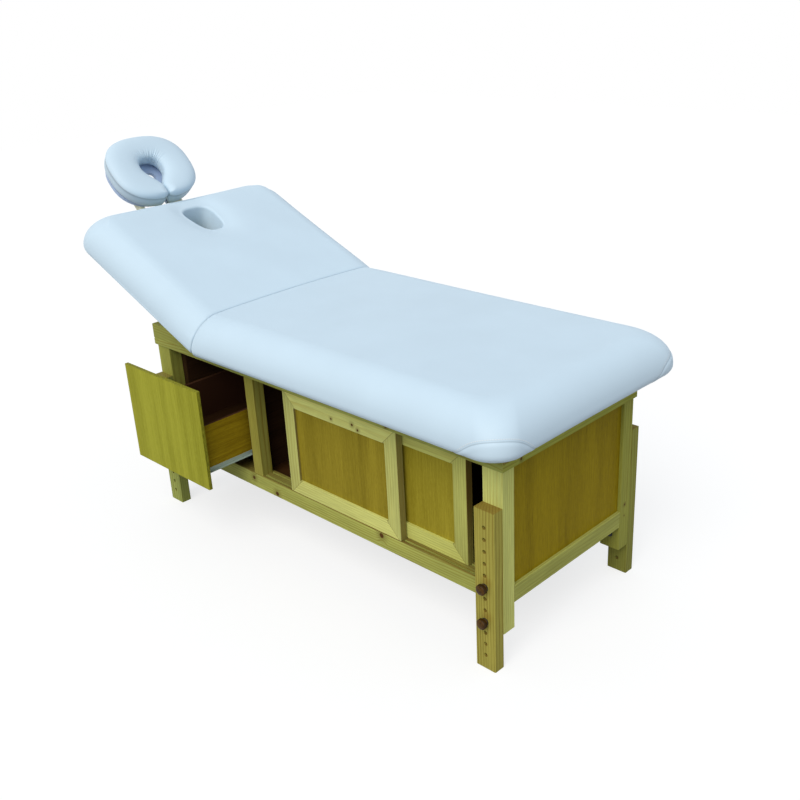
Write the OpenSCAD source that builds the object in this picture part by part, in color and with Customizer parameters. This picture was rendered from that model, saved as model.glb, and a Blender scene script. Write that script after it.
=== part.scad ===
// Massage table on a wooden cabinet: a pine frame with plywood panels, one drawer,
// two sliding doors, four height-adjustable legs, a raised head section on ratchet
// hinges and a face cradle on two prongs. Shown as in use: head section raised,
// drawer half out and both doors slid part of the way.
// +X points to the foot end, the front with the doors faces -Y, and +Z is up.
// The origin is on the floor, below the middle of the whole table.

/* [Cabinet] */
// Length over the corner posts
cab_l = 1436; // [1380:1:1560]
// Width over the corner posts
cab_w = 556; // [520:1:620]
// Height of the posts' lower ends above the floor
post_z = 98; // [80:1:115]
// Length of a corner post
post_h = 456; // [440:1:480]
// Width of a post along the table
post_w = 62; // [58:1:68]
// Depth of a post across the table
post_d = 44; // [40:1:50]
// Height of the lower rails
rail_h = 50; // [44:1:54]
// Thickness of the end rails and of the back rail
rail_t = 25; // [20:1:28]
// Depth of the front rail, which carries both doors
front_rail_d = 50; // [48:1:56]
// Height of the end rails above the floor
end_rail_z = 171; // [166:1:176]
// Height of the front and back rails above the floor
long_rail_z = 181; // [178:1:188]
// Thickness of the plywood panels
panel_t = 9; // [6:1:12]
// Depth of the panels' faces behind the posts' faces
panel_set = 9; // [6:1:12]
// Width of the stile between the drawer and the doors
stile_w = 40; // [34:1:48]
// Depth of that stile
stile_d = 40; // [34:1:48]
// Thickness of the boards beside the drawer
bay_t = 19; // [16:1:22]
// Thickness of the packing board between the head posts and the drawer
bay_pack = 21; // [18:1:24]
// Thickness of the cabinet's floor
floor_t = 10; // [8:1:12]
// Side of the square bearers under the floor
bearer = 18; // [14:1:20]

/* [Top frame] */
// Thickness of the mitred rim on the posts
rim_t = 21; // [18:1:24]
// Width of the rim's boards
rim_w = 72; // [66:1:80]
// Overhang of the rim past the posts
rim_lip = 6; // [3:1:9]
// Thickness of the board let into the rim
top_t = 12; // [9:1:14]
// Bearing of that board in the rim's rebate
rebate = 10; // [8:1:14]
// Height of the rails on the rim
upper_h = 49; // [47:1:56]
// Thickness of the rails on the rim
upper_t = 26; // [22:1:28]

/* [Legs] */
// Length of a leg
leg_l = 456; // [446:1:466]
// Width of a leg along the table
leg_w = 62; // [56:1:68]
// Thickness of a leg
leg_t = 34; // [28:1:38]
// Spacing of the holes in a leg
leg_pitch = 33.5; // [32:0.5:34]
// Number of holes in a leg
leg_holes = 12; // [11:1:12]
// Distance of the top hole from the leg's upper end
leg_first = 46.5; // [40:0.5:52]
// Diameter of the holes in a leg
leg_hole_d = 11; // [10.6:0.1:12]
// Diameter of the bolts
bolt_d = 10; // [8:0.5:10]
// Hole that the upper bolt uses, counted from the top
upper_hole = 6; // [5:1:6]
// Hole that the lower bolt uses, counted from the top
lower_hole = 9; // [9:1:10]
// Diameter of a wooden knob
knob_d = 30; // [28:1:36]
// Length of a wooden knob
knob_l = 21; // [18:1:26]

/* [Drawer] */
// Width of the drawer's opening between post and stile
drawer_bay = 393; // [380:1:410]
// Gap between the drawer's front and the frame around it
front_gap = 5; // [3:1:7]
// Thickness of the drawer's front
front_t = 12; // [10:1:16]
// Room for a slide on each side of the drawer
slide_room = 13; // [12.5:0.1:14]
// Height of the drawer's box
box_h = 148; // [120:1:170]
// Length of the drawer's box
box_l = 450; // [400:1:455]
// Height of the box above the floor
box_z = 280; // [272:1:290]
// Thickness of the box's boards
box_t = 12; // [10:1:14]
// Thickness of the drawer's bottom
box_bottom_t = 6; // [5:1:8]
// How far the drawer stands out
drawer_out = 165; // [0:1:330]

/* [Doors] */
// Overlap of the two doors when both are shut
door_lap = 29; // [20:1:40]
// Thickness of a door
door_t = 22; // [20:1:22]
// Distance from the front door's face to the rear door's face
door_step = 25; // [24:1:25]
// Width of the doors' frames
door_frame_w = 44.5; // [38:0.5:52]
// Thickness of the doors' panels
door_panel_t = 6; // [4:0.5:8]
// Depth of a door's panel behind its frame's face
door_panel_set = 7; // [5:0.5:8]
// Width of the grooves that the doors run in
groove_w = 6; // [5:0.5:8]
// Depth of those grooves
groove_d = 6; // [5:0.5:8]
// How far the front door is slid open, towards the foot end
front_door_open = 139; // [0:1:280]
// How far the rear door is slid open, towards the head end
rear_door_open = 72; // [0:1:340]

/* [Upholstery] */
// Length of the fixed foot pad, from the seam
foot_len = 1154; // [1120:1:1180]
// Length of the raised head pad, from the seam
head_len = 650; // [630:1:700]
// Width of both pads
pad_w = 770; // [740:1:800]
// Thickness of the head pad, and of the foot pad above its board's underside
pad_t = 113; // [100:1:125]
// Radius of the pads' upper edges
edge_r = 94; // [70:1:95]
// Rise of the pads' tops in their middle
crown = 5; // [2:1:10]
// How far the pads' long sides are drawn in between their corners
side_draw = 4; // [0:1:8]
// Thickness of the boards in the pads
board_t = 12; // [9:1:15]
// Distance of the boards' edges inside the pads' sides
board_in = 34; // [28:1:40]

/* [Head section] */
// Angle of the raised head section
head_tilt = 23; // [0:1:40]
// Steepest angle of the head section
head_tilt_max = 40; // [40:1:44]
// Distance of the seam from the cabinet's foot end
seam_from_foot = 1074; // [1060:1:1090]
// Height of the hinge pins above the boards' undersides
hinge_rise = 29.7; // [28:0.1:32]
// Distance of the face hole's middle from the seam
face_hole_s = 490; // [480:1:505]
// Length of the face hole
face_hole_l = 150; // [130:1:160]
// Width of the face hole
face_hole_w = 100; // [85:1:104]

/* [Face cradle] */
// Distance of the cradle's pivot from the seam
cradle_s = 708; // [708:1:730]
// Angle of the cradle to the head section
cradle_tilt = 21; // [0:1:40]
// Distance between the cradle's arms, middle to middle
arm_gap = 152; // [150:1:170]
// Thickness of an arm
arm_t = 16; // [12:1:18]
// Diameter of the prongs
prong_d = 16; // [14:0.5:18]
// Length of the face cushion
face_l = 256; // [240:1:280]
// Width of the face cushion
face_w = 310; // [290:1:330]
// Thickness of the face cushion
face_t = 77; // [60:1:85]
// Width of the face cushion's ring
face_band = 104; // [90:1:110]
// Thickness of the board under the face cushion
platform_t = 12; // [9:1:14]
// Length of the hole in that board
platform_hole_l = 40; // [34:1:46]
// Width of the hole in that board
platform_hole_w = 64; // [56:1:74]
// Width of the slot from that hole to the board's edge
platform_slot = 30; // [26:1:36]

/* [Hidden] */

// Clearances and small sizes shared by several pieces
seat_gap = 0.3;
slip = 0.1;
spin_gap = 0.05;
cut = 1;
ease = 1.5;
small_ease = 0.8;
run_gap = 1;

// Heights that follow from the frame
rim_z = post_z + post_h;
upper_z = rim_z + rim_t;
board_z = upper_z + upper_h;
long_rail_top = long_rail_z + rail_h;
end_rail_top = end_rail_z + rail_h;
floor_z = end_rail_top - floor_t;

// Head section and cradle, measured from the hinge pins
cradle_n = -3;
arm_below = 14;
arm_top = 14;
platform_in = 14;
cradle_centre = 129;
face_far = cradle_centre + face_l / 2;
table_tilt = head_tilt + cradle_tilt;
cradle_x = cradle_s * cos(head_tilt) + (hinge_rise - cradle_n) * sin(head_tilt);
head_reach = cradle_x + (face_far - platform_in) * cos(table_tilt) - arm_top * sin(table_tilt);

// Extents of the whole table and the frame that follows from them
foot_over = foot_len - seam_from_foot;
side_over = (pad_w - cab_w) / 2;
head_out = seam_from_foot + head_reach;
xf = (head_out - foot_over) / 2;
xh = xf - cab_l;
y_low = -max(drawer_out, side_over);
yf = (-y_low - cab_w - side_over) / 2;
yb = yf + cab_w;
ym = yf + cab_w / 2;
seam_x = xf - seam_from_foot;
hinge_z = board_z + seat_gap + hinge_rise;

// Bolts and knobs
upper_bolt_z = leg_l - leg_first - (upper_hole - 1) * leg_pitch;
lower_bolt_z = leg_l - leg_first - (lower_hole - 1) * leg_pitch;
bolt_zs = [upper_bolt_z, lower_bolt_z];
bolt_xs = [xh + leg_w / 2, xf - leg_w / 2];
bolt_head_d = 20;
bolt_head_t = 5;
bolt_dome_shares = [[0.5, 0], [0.44, 0.5], [0.28, 1]];
knob_grip = 15;
knob_round_share = 0.35;
knob_collar_shares = [0.36, 0.1];
knob_neck_share = 0.3;
knob_flare_shares = [0.24, 0.4];
dome_angles = [0 : 15 : 75];

// Drawer bay, from the head post's inner face to the stile
bay_x0 = xh + post_w;
bay_x1 = bay_x0 + drawer_bay;
bay_side_left = bay_x0 + bay_pack;
bay_side_right = bay_x1 - bay_t;
box_x0 = bay_side_left + slide_room;
box_x1 = bay_side_right - slide_room;
back_in = panel_set + panel_t;
drawer_y = yf - drawer_out;
box_y0 = drawer_y + front_t;
box_y1 = box_y0 + box_l;
bottom_z = box_z + box_t;
box_groove = box_t / 2;

// Drawer slides
steel_t = 1.4;
roller_d = 16;
roller_w = 7;
roller_pin_d = 4;
roller_gap = 0.2;
track_d = 8.5;
runner_lip = 10;
runner_web_h = 12;
track_floor = box_z - steel_t - roller_gap - roller_d - roller_gap;
roller_z = track_floor + roller_gap + roller_d / 2;
track_top = box_z + run_gap;
channel_y0 = yf + post_d + seat_gap;
channel_l = cab_w - post_d - back_in - seat_gap * 2;
front_roller_y = channel_y0 + roller_d / 2 + steel_t;
rear_roller_y = box_y1 - roller_d / 2 - steel_t;

// Doors
doors_x0 = bay_x1 + stile_w;
doors_x1 = xf - post_w;
door_w = (doors_x1 - doors_x0 + door_lap) / 2;
door_z0 = long_rail_top + run_gap;
door_z1 = rim_z - run_gap;
door_h = door_z1 - door_z0;
tongue_w = groove_w - run_gap;
tongue_d = groove_d - seat_gap + run_gap;
front_groove_y = door_t / 2;
rear_groove_y = door_step + door_t / 2;
panel_grip = 8;

// Ratchet hinges
plate_t = 3;
disc_r = 26;
head_disc_r = 24;
neck_w = 24;
hinge_pin_d = 10;
hinge_pin_head_d = 16;
disc_room_r = 34;
arm_bar_h = 26;
base_arm_l = 116;
head_arm_l = 210;
arm_drop = hinge_z - upper_z - upper_h / 2;
batten_w = 20;
batten_h = 40;
batten_s0 = 36;
batten_s1 = seam_x - xh - rim_w / 2;
socket_w = 36;
socket_h = 40;
socket_clear = 32;
socket_s0 = seam_x - xh + rim_lip + socket_clear;
prong_n = -socket_h / 2;

// Pads
seam_gap = 1.5;
seam_lean = head_tilt_max / 2;
seam_r = 18;
skin = 4;
head_low_r = 18;
head_corner_r = 92;
foot_corner_r = 73;
foot_low_corner_r = 14;
belly_in = 22;
belly_rise = 44;
cap_half = 30;
corner_steps = 6;
side_steps = 6;
belly_shares = [1 / 3, 2 / 3, 1];
belly_corner_share = 0.8;
edge_angles = [12, 28, 44, 60, 75, 90];
low_angles = [0, 30, 60, 90];
crown_shares = [1 / 3, 2 / 3, 1];
crown_corner_share = 0.6;
lip_h = 16;
lip_grow = 1.3;

// Outline of a bar with eased edges.
function eased_rect(w, h, e) = [
  [e, 0], [w - e, 0], [w, e], [w, h - e], [w - e, h], [e, h], [0, h - e], [0, e]
];

// Bar along X, Y or Z with its long edges eased.
module bar_x(l, w, h, e = ease) rotate([90, 0, 90]) linear_extrude(l) polygon(eased_rect(w, h, e));
module bar_y(l, w, h, e = ease)
  translate([0, l, 0]) rotate([90, 0, 0]) linear_extrude(l) polygon(eased_rect(w, h, e));
module bar_z(w, d, h, e = ease) linear_extrude(h) polygon(eased_rect(w, d, e));

// Cylinders along X and Y, from the given place on.
module rod_x(d, l) rotate([0, 90, 0]) cylinder(d = d, h = l, $fn = 48);
module rod_y(d, l) rotate([-90, 0, 0]) cylinder(d = d, h = l, $fn = 48);

// The same thing at the front and, turned over the middle, at the back.
module front_and_back() {
  children();
  translate([0, 2 * ym, 0]) mirror([0, 1, 0]) children();
}

// Colours, as in the photograph
pine = [0.86, 0.80, 0.55];
ply = [0.66, 0.58, 0.30];
inside = [0.45, 0.30, 0.18];
vinyl = [0.90, 0.94, 0.97];
walnut = [0.42, 0.26, 0.13];
steel = [0.62, 0.62, 0.63];
black = [0.08, 0.08, 0.09];
white_metal = [0.90, 0.90, 0.88];

// Corner post with the holes for its two bolts.
module post(x, y) {
  color(pine) difference() {
    translate([x, y, post_z]) bar_z(post_w, post_d, post_h);
    for (z = bolt_zs, bx = bolt_xs)
      translate([bx, y - cut, z]) rod_y(bolt_d + 2 * slip, post_d + 2 * cut);
  }
}
module post_front_head() post(xh, yf);
module post_front_foot() post(xf - post_w, yf);
module post_back_head() post(xh, yb - post_d);
module post_back_foot() post(xf - post_w, yb - post_d);

// Carriage bolts from inside the posts, through the legs and into the knobs.
module leg_bolt() {
  bolt_reach = post_d + leg_t + knob_grip;
  dome = [for (s = bolt_dome_shares) [bolt_head_d * s[0], bolt_head_t * s[1]]];
  translate([0, post_d, 0]) rotate([90, 0, 0]) cylinder(d = bolt_d, h = bolt_reach, $fn = 48);
  translate([0, post_d, 0]) rotate([-90, 0, 0]) rotate_extrude($fn = 48)
    polygon(concat([[0, 0]], dome, [[0, bolt_head_t]]));
}
module leg_bolts() {
  color(black) front_and_back() for (z = bolt_zs, bx = bolt_xs) translate([bx, yf, z]) leg_bolt();
}

// Height-adjustable leg outside its post, with a row of holes.
module leg(x, y) {
  color(pine) difference() {
    translate([x, y, 0]) bar_z(leg_w, leg_t, leg_l);
    for (i = [0 : leg_holes - 1])
      translate([x + leg_w / 2, y - cut, leg_l - leg_first - i * leg_pitch])
        rod_y(leg_hole_d, leg_t + 2 * cut);
  }
}
module leg_front_head() leg(xh, yf - leg_t);
module leg_front_foot() leg(xf - leg_w, yf - leg_t);
module leg_back_head() leg(xh, yb);
module leg_back_foot() leg(xf - leg_w, yb);

// Turned wooden knob with a collar, a domed face and a blind bore, outwards along +Z.
module knob_shape() {
  round_r = knob_l * knob_round_share;
  bore_r = bolt_d / 2 + spin_gap;
  bore = [[0, knob_grip], [bore_r, knob_grip], [bore_r, 0]];
  collar = [knob_d * knob_collar_shares[0], knob_l * knob_collar_shares[1]];
  neck = [
    [collar[0], 0], collar, [knob_d * knob_neck_share, collar[1]],
    [knob_d * knob_neck_share, knob_l * knob_flare_shares[0]], [knob_d / 2, knob_l * knob_flare_shares[1]]
  ];
  dome = [
    for (a = dome_angles) [knob_d / 2 - round_r + round_r * cos(a), knob_l - round_r + round_r * sin(a)]
  ];
  rotate_extrude($fn = 48) polygon(concat(bore, neck, dome, [[0, knob_l]]));
}
module knob(end, level) {
  color(walnut) translate([bolt_xs[end], yf - leg_t - seat_gap, bolt_zs[level]])
    rotate([90, 0, 0]) knob_shape();
}
module knob_at_back(end, level) {
  translate([0, 2 * ym, 0]) mirror([0, 1, 0]) knob(end, level);
}
module knob_front_head_upper() knob(0, 0);
module knob_front_head_lower() knob(0, 1);
module knob_front_foot_upper() knob(1, 0);
module knob_front_foot_lower() knob(1, 1);
module knob_back_head_upper() knob_at_back(0, 0);
module knob_back_head_lower() knob_at_back(0, 1);
module knob_back_foot_upper() knob_at_back(1, 0);
module knob_back_foot_lower() knob_at_back(1, 1);

// Grooves for the doors' tongues, between the two given heights.
module door_grooves(z0, z1) {
  for (gy = [front_groove_y, rear_groove_y])
    translate([doors_x0, yf + gy - groove_w / 2, z0])
      cube([doors_x1 - doors_x0, groove_w, z1 - z0]);
}

// Lower rails between the posts.
module lower_rail_front() {
  color(pine) difference() {
    translate([bay_x0, yf, long_rail_z]) bar_x(doors_x1 - bay_x0, front_rail_d, rail_h);
    door_grooves(long_rail_top - groove_d, long_rail_top + cut);
  }
}
module lower_rail_back() {
  color(pine) translate([bay_x0, yb - rail_t, long_rail_z]) bar_x(doors_x1 - bay_x0, rail_t, rail_h);
}
module lower_rail_end(x) {
  color(pine) translate([x, yf + post_d, end_rail_z]) bar_y(cab_w - 2 * post_d, rail_t, rail_h);
}
module lower_rail_head() lower_rail_end(xh);
module lower_rail_foot() lower_rail_end(xf - rail_t);

// Stile between the drawer and the doors.
module stile_front() {
  color(pine) translate([bay_x1, yf, long_rail_top]) bar_z(stile_w, stile_d, rim_z - long_rail_top);
}

// Rim: four mitred boards with a rebate for the top board.
rim_section = [
  [0, ease], [ease, 0], [rim_w, 0], [rim_w, rim_t - top_t], [rim_w - rebate, rim_t - top_t],
  [rim_w - rebate, rim_t], [ease, rim_t], [0, rim_t - ease]
];
module rim_board(l) {
  intersection() {
    rotate([90, 0, 90]) linear_extrude(l) polygon(rim_section);
    linear_extrude(rim_t) polygon([[0, 0], [l, 0], [l - rim_w, rim_w], [rim_w, rim_w]]);
  }
}
rim_l = cab_l + 2 * rim_lip;
rim_across = cab_w + 2 * rim_lip;
module rim_front() {
  color(pine) difference() {
    translate([xh - rim_lip, yf - rim_lip, rim_z]) rim_board(rim_l);
    door_grooves(rim_z - cut, rim_z + groove_d);
  }
}
module rim_back()
  color(pine) translate([xf + rim_lip, yb + rim_lip, rim_z]) rotate([0, 0, 180]) rim_board(rim_l);
module rim_head()
  color(pine) translate([xh - rim_lip, yb + rim_lip, rim_z]) rotate([0, 0, -90]) rim_board(rim_across);
module rim_foot()
  color(pine) translate([xf + rim_lip, yf - rim_lip, rim_z]) rotate([0, 0, 90]) rim_board(rim_across);
module top_board() {
  inset = rim_w - rim_lip - rebate + slip;
  color(ply) translate([xh + inset, yf + inset, upper_z - top_t])
    cube([cab_l - 2 * inset, cab_w - 2 * inset, top_t]);
}

// Rails on the rim: open round the head section, inside the upholstery at the foot.
module side_rail_front() {
  color(pine) translate([xh - rim_lip, yf - rim_lip, upper_z]) bar_x(rim_l, upper_t, upper_h);
}
module side_rail_back() {
  color(pine) translate([xh - rim_lip, yb + rim_lip - upper_t, upper_z]) bar_x(rim_l, upper_t, upper_h);
}
module cross_rail(x) {
  translate([x, yf - rim_lip + upper_t, upper_z]) bar_y(rim_across - 2 * upper_t, upper_t, upper_h);
}
module cross_rail_head() color(pine) cross_rail(xh - rim_lip);
module cross_rails() {
  color(pine) {
    cross_rail(seam_x + base_arm_l + arm_bar_h / 2);
    cross_rail(xf + rim_lip - upper_t);
  }
}

// Plywood panels, set back behind the posts' faces.
module end_panel(x) {
  translate([x, yf + post_d, end_rail_top]) cube([panel_t, cab_w - 2 * post_d, rim_z - end_rail_top]);
}
module end_panels() {
  color(ply) {
    end_panel(xh + panel_set);
    end_panel(xf - back_in);
  }
}
module back_panels() {
  h = rim_z - long_rail_top;
  mid_x = bay_x1 - bay_t / 2;
  color(ply) for (span = [[bay_x0, mid_x - stile_w / 2], [mid_x + stile_w / 2, doors_x1]])
    translate([span[0], yb - back_in, long_rail_top]) cube([span[1] - span[0], panel_t, h]);
  color(pine) translate([mid_x - stile_w / 2, yb - back_in, long_rail_top])
    bar_z(stile_w, back_in, h, small_ease);
}

// Boards beside the drawer, notched over the long rails: the partition, and the packing at the head post.
module drawer_bay_sides() {
  notch_h = long_rail_top - end_rail_top + slip;
  color(inside) difference() {
    union() {
      translate([bay_side_right, yf + front_t + run_gap, end_rail_top])
        cube([bay_t, cab_w - front_t - back_in - 2 * run_gap, rim_z - end_rail_top]);
      translate([bay_x0, yf + post_d, end_rail_top])
        cube([bay_pack, cab_w - post_d - back_in - run_gap, rim_z - end_rail_top]);
    }
    for (y = [yf - cut, yb - rail_t - slip]) translate([bay_x0 - cut, y, end_rail_top - cut])
      cube([drawer_bay + 2 * cut, front_rail_d + cut + slip, notch_h + cut]);
  }
}

// Floor on two bearers, cut out round the posts.
module cabinet_floor() {
  color(inside) difference() {
    translate([xh + rail_t, yf + front_rail_d, floor_z])
      cube([cab_l - 2 * rail_t, cab_w - front_rail_d - rail_t, floor_t]);
    for (x = [xh, xf - post_w])
      translate([x - cut, yb - post_d - slip, floor_z - cut])
        cube([post_w + cut + slip, post_d + cut, floor_t + 2 * cut]);
  }
}
module floor_bearers() {
  color(pine) for (y = [yf + front_rail_d, yb - rail_t - bearer])
    translate([bay_x0, y, floor_z - bearer]) bar_x(doors_x1 - bay_x0, bearer, bearer, small_ease);
}

// Drawer slides: a channel on each side of the bay, with a roller at its front end.
module slide_channel() {
  section = [
    [0, track_floor - steel_t], [track_d + steel_t, track_floor - steel_t],
    [track_d + steel_t, track_floor], [steel_t, track_floor], [steel_t, track_top],
    [track_d + steel_t, track_top], [track_d + steel_t, track_top + steel_t], [0, track_top + steel_t]
  ];
  translate([0, channel_l, 0]) rotate([90, 0, 0]) linear_extrude(channel_l) polygon(section);
}
module roller_pin(length) rod_x(roller_pin_d, length);
module both_slides() {
  children();
  translate([bay_side_left + bay_side_right, 0, 0]) mirror([1, 0, 0]) children();
}
module slide_channels() {
  color(white_metal) both_slides() {
    translate([bay_side_left, channel_y0, 0]) slide_channel();
    translate([bay_side_left + steel_t, front_roller_y, roller_z]) roller_pin(run_gap / 2 + roller_w);
  }
}
module roller() {
  difference() {
    rod_x(roller_d, roller_w);
    translate([-cut, 0, 0]) rod_x(roller_pin_d + 2 * spin_gap, roller_w + 2 * cut);
  }
}
module front_rollers() {
  color(white_metal) both_slides()
    translate([bay_side_left + steel_t + run_gap / 2, front_roller_y, roller_z]) roller();
}

// Drawer: front, box, bottom, and the runners under its sides with their rollers.
module drawer_front() {
  color(ply) translate([bay_x0 + front_gap + run_gap, drawer_y, long_rail_top + front_gap])
    bar_z(drawer_bay - 2 * front_gap - run_gap, front_t,
      rim_z - long_rail_top - front_gap - 2 * run_gap, small_ease);
}
module drawer_bottom() {
  color(inside) translate([box_x0 + box_groove, box_y0 + slip, bottom_z])
    cube([box_x1 - box_x0 - 2 * box_groove, box_l - slip, box_bottom_t]);
}
module drawer_box() {
  color(inside) {
    difference() {
      for (x = [box_x0, box_x1 - box_t])
        translate([x, box_y0, box_z]) bar_y(box_l, box_t, box_h, small_ease);
      translate([box_x0 + box_groove - slip, box_y0 - cut, bottom_z - slip])
        cube([box_x1 - box_x0 - 2 * box_groove + 2 * slip, box_l + 2 * cut, box_bottom_t + 2 * slip]);
    }
    translate([box_x0 + box_t, box_y1 - box_t, bottom_z + box_bottom_t])
      bar_x(box_x1 - box_x0 - 2 * box_t, box_t, box_h - box_t - box_bottom_t, small_ease);
  }
}
module runner() {
  section = [
    [-roller_w - run_gap * 2, box_z - steel_t], [runner_lip, box_z - steel_t], [runner_lip, box_z],
    [0, box_z], [0, box_z + runner_web_h], [-steel_t, box_z + runner_web_h], [-steel_t, box_z],
    [-roller_w - run_gap * 2, box_z]
  ];
  translate([0, box_l, 0]) rotate([90, 0, 0]) linear_extrude(box_l) polygon(section);
}
module drawer_runners() {
  tab_h = roller_z + roller_pin_d - box_z;
  color(white_metal) both_slides() {
    translate([box_x0, box_y0, 0]) runner();
    translate([box_x0 - steel_t, rear_roller_y - roller_pin_d, roller_z - roller_pin_d])
      cube([steel_t, 2 * roller_pin_d, box_z - roller_z + roller_pin_d]);
    translate([box_x0 - steel_t - run_gap / 2 - roller_w, rear_roller_y, roller_z])
      roller_pin(run_gap / 2 + roller_w + steel_t / 2);
  }
}
module rear_rollers() {
  color(white_metal) both_slides()
    translate([box_x0 - steel_t - run_gap / 2 - roller_w, rear_roller_y, roller_z]) roller();
}

// Sliding door: a frame round a plywood panel, with a tongue along its top and bottom.
door_edge = door_frame_w - panel_grip;
module door_panel_at(x, y, grow = 0) {
  translate([x + door_edge - grow, y + door_panel_set - grow, door_z0 + door_edge - grow])
    cube([door_w - 2 * (door_edge - grow), door_panel_t + 2 * grow, door_h - 2 * (door_edge - grow)]);
}
module door_frame_at(x, y) {
  tongue_y = y + door_t / 2 - tongue_w / 2;
  difference() {
    union() {
      translate([x, y, door_z0]) bar_z(door_w, door_t, door_h, small_ease);
      translate([x + small_ease, tongue_y, door_z0 - tongue_d])
        cube([door_w - 2 * small_ease, tongue_w, door_h + 2 * tongue_d]);
    }
    translate([x + door_frame_w, y - cut, door_z0 + door_frame_w])
      cube([door_w - 2 * door_frame_w, door_t + 2 * cut, door_h - 2 * door_frame_w]);
    door_panel_at(x, y, slip);
  }
}
front_door_x = doors_x0 + front_door_open;
rear_door_x = doors_x1 - door_w - rear_door_open;
module door_front_frame() color(pine) door_frame_at(front_door_x, yf);
module door_front_panel() color(ply) door_panel_at(front_door_x, yf);
module door_rear_frame() color(pine) door_frame_at(rear_door_x, yf + door_step);
module door_rear_panel() color(ply) door_panel_at(rear_door_x, yf + door_step);

// Places things on the raised head section: x runs to the foot end, z up from its boards' underside.
module on_head() {
  translate([seam_x, ym, hinge_z]) rotate([0, head_tilt, 0]) translate([0, 0, -hinge_rise]) children();
}
// Places things on the cradle, from its pivot.
module on_cradle() {
  on_head() translate([-cradle_s, 0, cradle_n]) rotate([0, cradle_tilt, 0]) children();
}
// The same thing at both ends of a hinge line, from the middle outwards.
module left_and_right() {
  children();
  mirror([0, 1, 0]) children();
}

// Room in boards and pads for the ratchet discs.
rail_inner = cab_w / 2 + rim_lip - upper_t;
module disc_room() {
  left_and_right() translate([0, -rail_inner - run_gap, hinge_rise])
    rod_y(2 * disc_room_r, 2 * plate_t + batten_w / 2 + run_gap);
}

// One level of a pad: a rounded rectangle with its seam at x = 0, its sides drawn in.
function arc_points(cx, cy, r, a0) = [
  for (i = [0 : corner_steps]) let(a = a0 + 90 * i / corner_steps) [cx + r * cos(a), cy + r * sin(a)]
];
function drawn_side(p, q, draw) = [
  for (i = [1 : side_steps - 1]) p + (q - p) * (i / side_steps) + draw * sin(180 * i / side_steps)
];
function pad_level(l, w, inset, seam_in, r, z, draw) =
  let(
    x0 = seam_in, x1 = l - inset, y1 = w / 2 - inset, s = min(seam_r, r),
    c1 = arc_points(x1 - r, y1 - r, r, 0), c2 = arc_points(x0 + s, y1 - s, s, 90),
    c3 = arc_points(x0 + s, s - y1, s, 180), c4 = arc_points(x1 - r, r - y1, r, 270)
  )
  [for (p = concat(
    c1, drawn_side(c1[corner_steps], c2[0], [0, -draw]),
    c2, drawn_side(c2[corner_steps], c3[0], [0, 0]),
    c3, drawn_side(c3[corner_steps], c4[0], [0, draw]),
    c4, drawn_side(c4[corner_steps], c1[0], [-draw, 0])
  )) [p[0], p[1], z]];

// Solid through a stack of levels, closed by fans at its lowest and highest level.
module lofted(levels) {
  n = len(levels[0]);
  m = len(levels);
  flat = [for (lv = levels, p = lv) p];
  low = [for (k = [0 : 2]) [for (p = levels[0]) p[k]] * [for (p = levels[0]) 1 / n]];
  high = [for (k = [0 : 2]) [for (p = levels[m - 1]) p[k]] * [for (p = levels[m - 1]) 1 / n]];
  walls = [
    for (k = [0 : m - 2], i = [0 : n - 1])
      let(a = k * n + i, b = k * n + (i + 1) % n, c = b + n, d = a + n) each [[a, d, c], [a, c, b]]
  ];
  floor_fan = [for (i = [0 : n - 1]) [n * m, i, (i + 1) % n]];
  roof_fan = [for (i = [0 : n - 1]) [n * m + 1, (m - 1) * n + (i + 1) % n, (m - 1) * n + i]];
  polyhedron(points = concat(flat, [low, high]), faces = concat(walls, floor_fan, roof_fan));
}

// Distance of the seam's face from the hinge line: upright below the pins, leaning back above them.
function seam_face(z, pin_z, top) =
  let(up = max(0, z - pin_z), near = max(0, min(1, (z - top + seam_r) / seam_r)))
  seam_gap + up * tan(seam_lean) + seam_r * (1 - sqrt(1 - near * near));

// Levels from the widest one upwards: the rounded edge and the crown, as [inset, height, corner radius].
function upper_levels(top, corner) = concat(
  [for (a = edge_angles) [edge_r * (1 - cos(a)), top - edge_r + edge_r * sin(a), corner]],
  [for (s = crown_shares)
    [edge_r + s * (pad_w / 2 - edge_r - cap_half), top + crown * (1 - (1 - s) * (1 - s)),
      corner * (1 - crown_corner_share * s)]]
);
function pad_stack(rows, l, pin_z, top) = [
  for (row = rows)
    pad_level(l, pad_w, row[0], seam_face(row[1], pin_z, top) + max(0, row[0] - edge_r),
      min(row[2], pad_w / 2 - row[0] - small_ease), row[1], side_draw * min(1, row[1] / (top / 2)))
];

// Foot pad: upholstery over its board and the rails, from the rim's edge out and round.
foot_top = upper_h + seat_gap + pad_t;
belly_z = foot_top - edge_r;
foot_rows = concat(
  [[side_over - rim_lip - skin, seat_gap, foot_low_corner_r]],
  [[belly_in, belly_rise, foot_corner_r * belly_corner_share]],
  [for (t = belly_shares)
    [belly_in * (1 - sin(90 * t)), belly_rise + (belly_z - belly_rise) * (1 - cos(90 * t)), foot_corner_r]],
  upper_levels(foot_top, foot_corner_r)
);
module foot_cushion() {
  color(vinyl) difference() {
    translate([seam_x, ym, upper_z])
      lofted(pad_stack(foot_rows, foot_len, upper_h + seat_gap + hinge_rise, foot_top));
    translate([seam_x - cut, yf - rim_lip - seat_gap, upper_z - cut])
      cube([seam_from_foot + rim_lip + seat_gap + cut, rim_across + 2 * seat_gap, upper_h + cut + seat_gap]);
    translate([seam_x - cut, ym - pad_w / 2 + board_in - slip, board_z])
      cube([foot_len - board_in + cut + slip, pad_w - 2 * board_in + 2 * slip, board_t + slip]);
    translate([seam_x, ym, board_z + seat_gap]) disc_room();
  }
}
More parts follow.
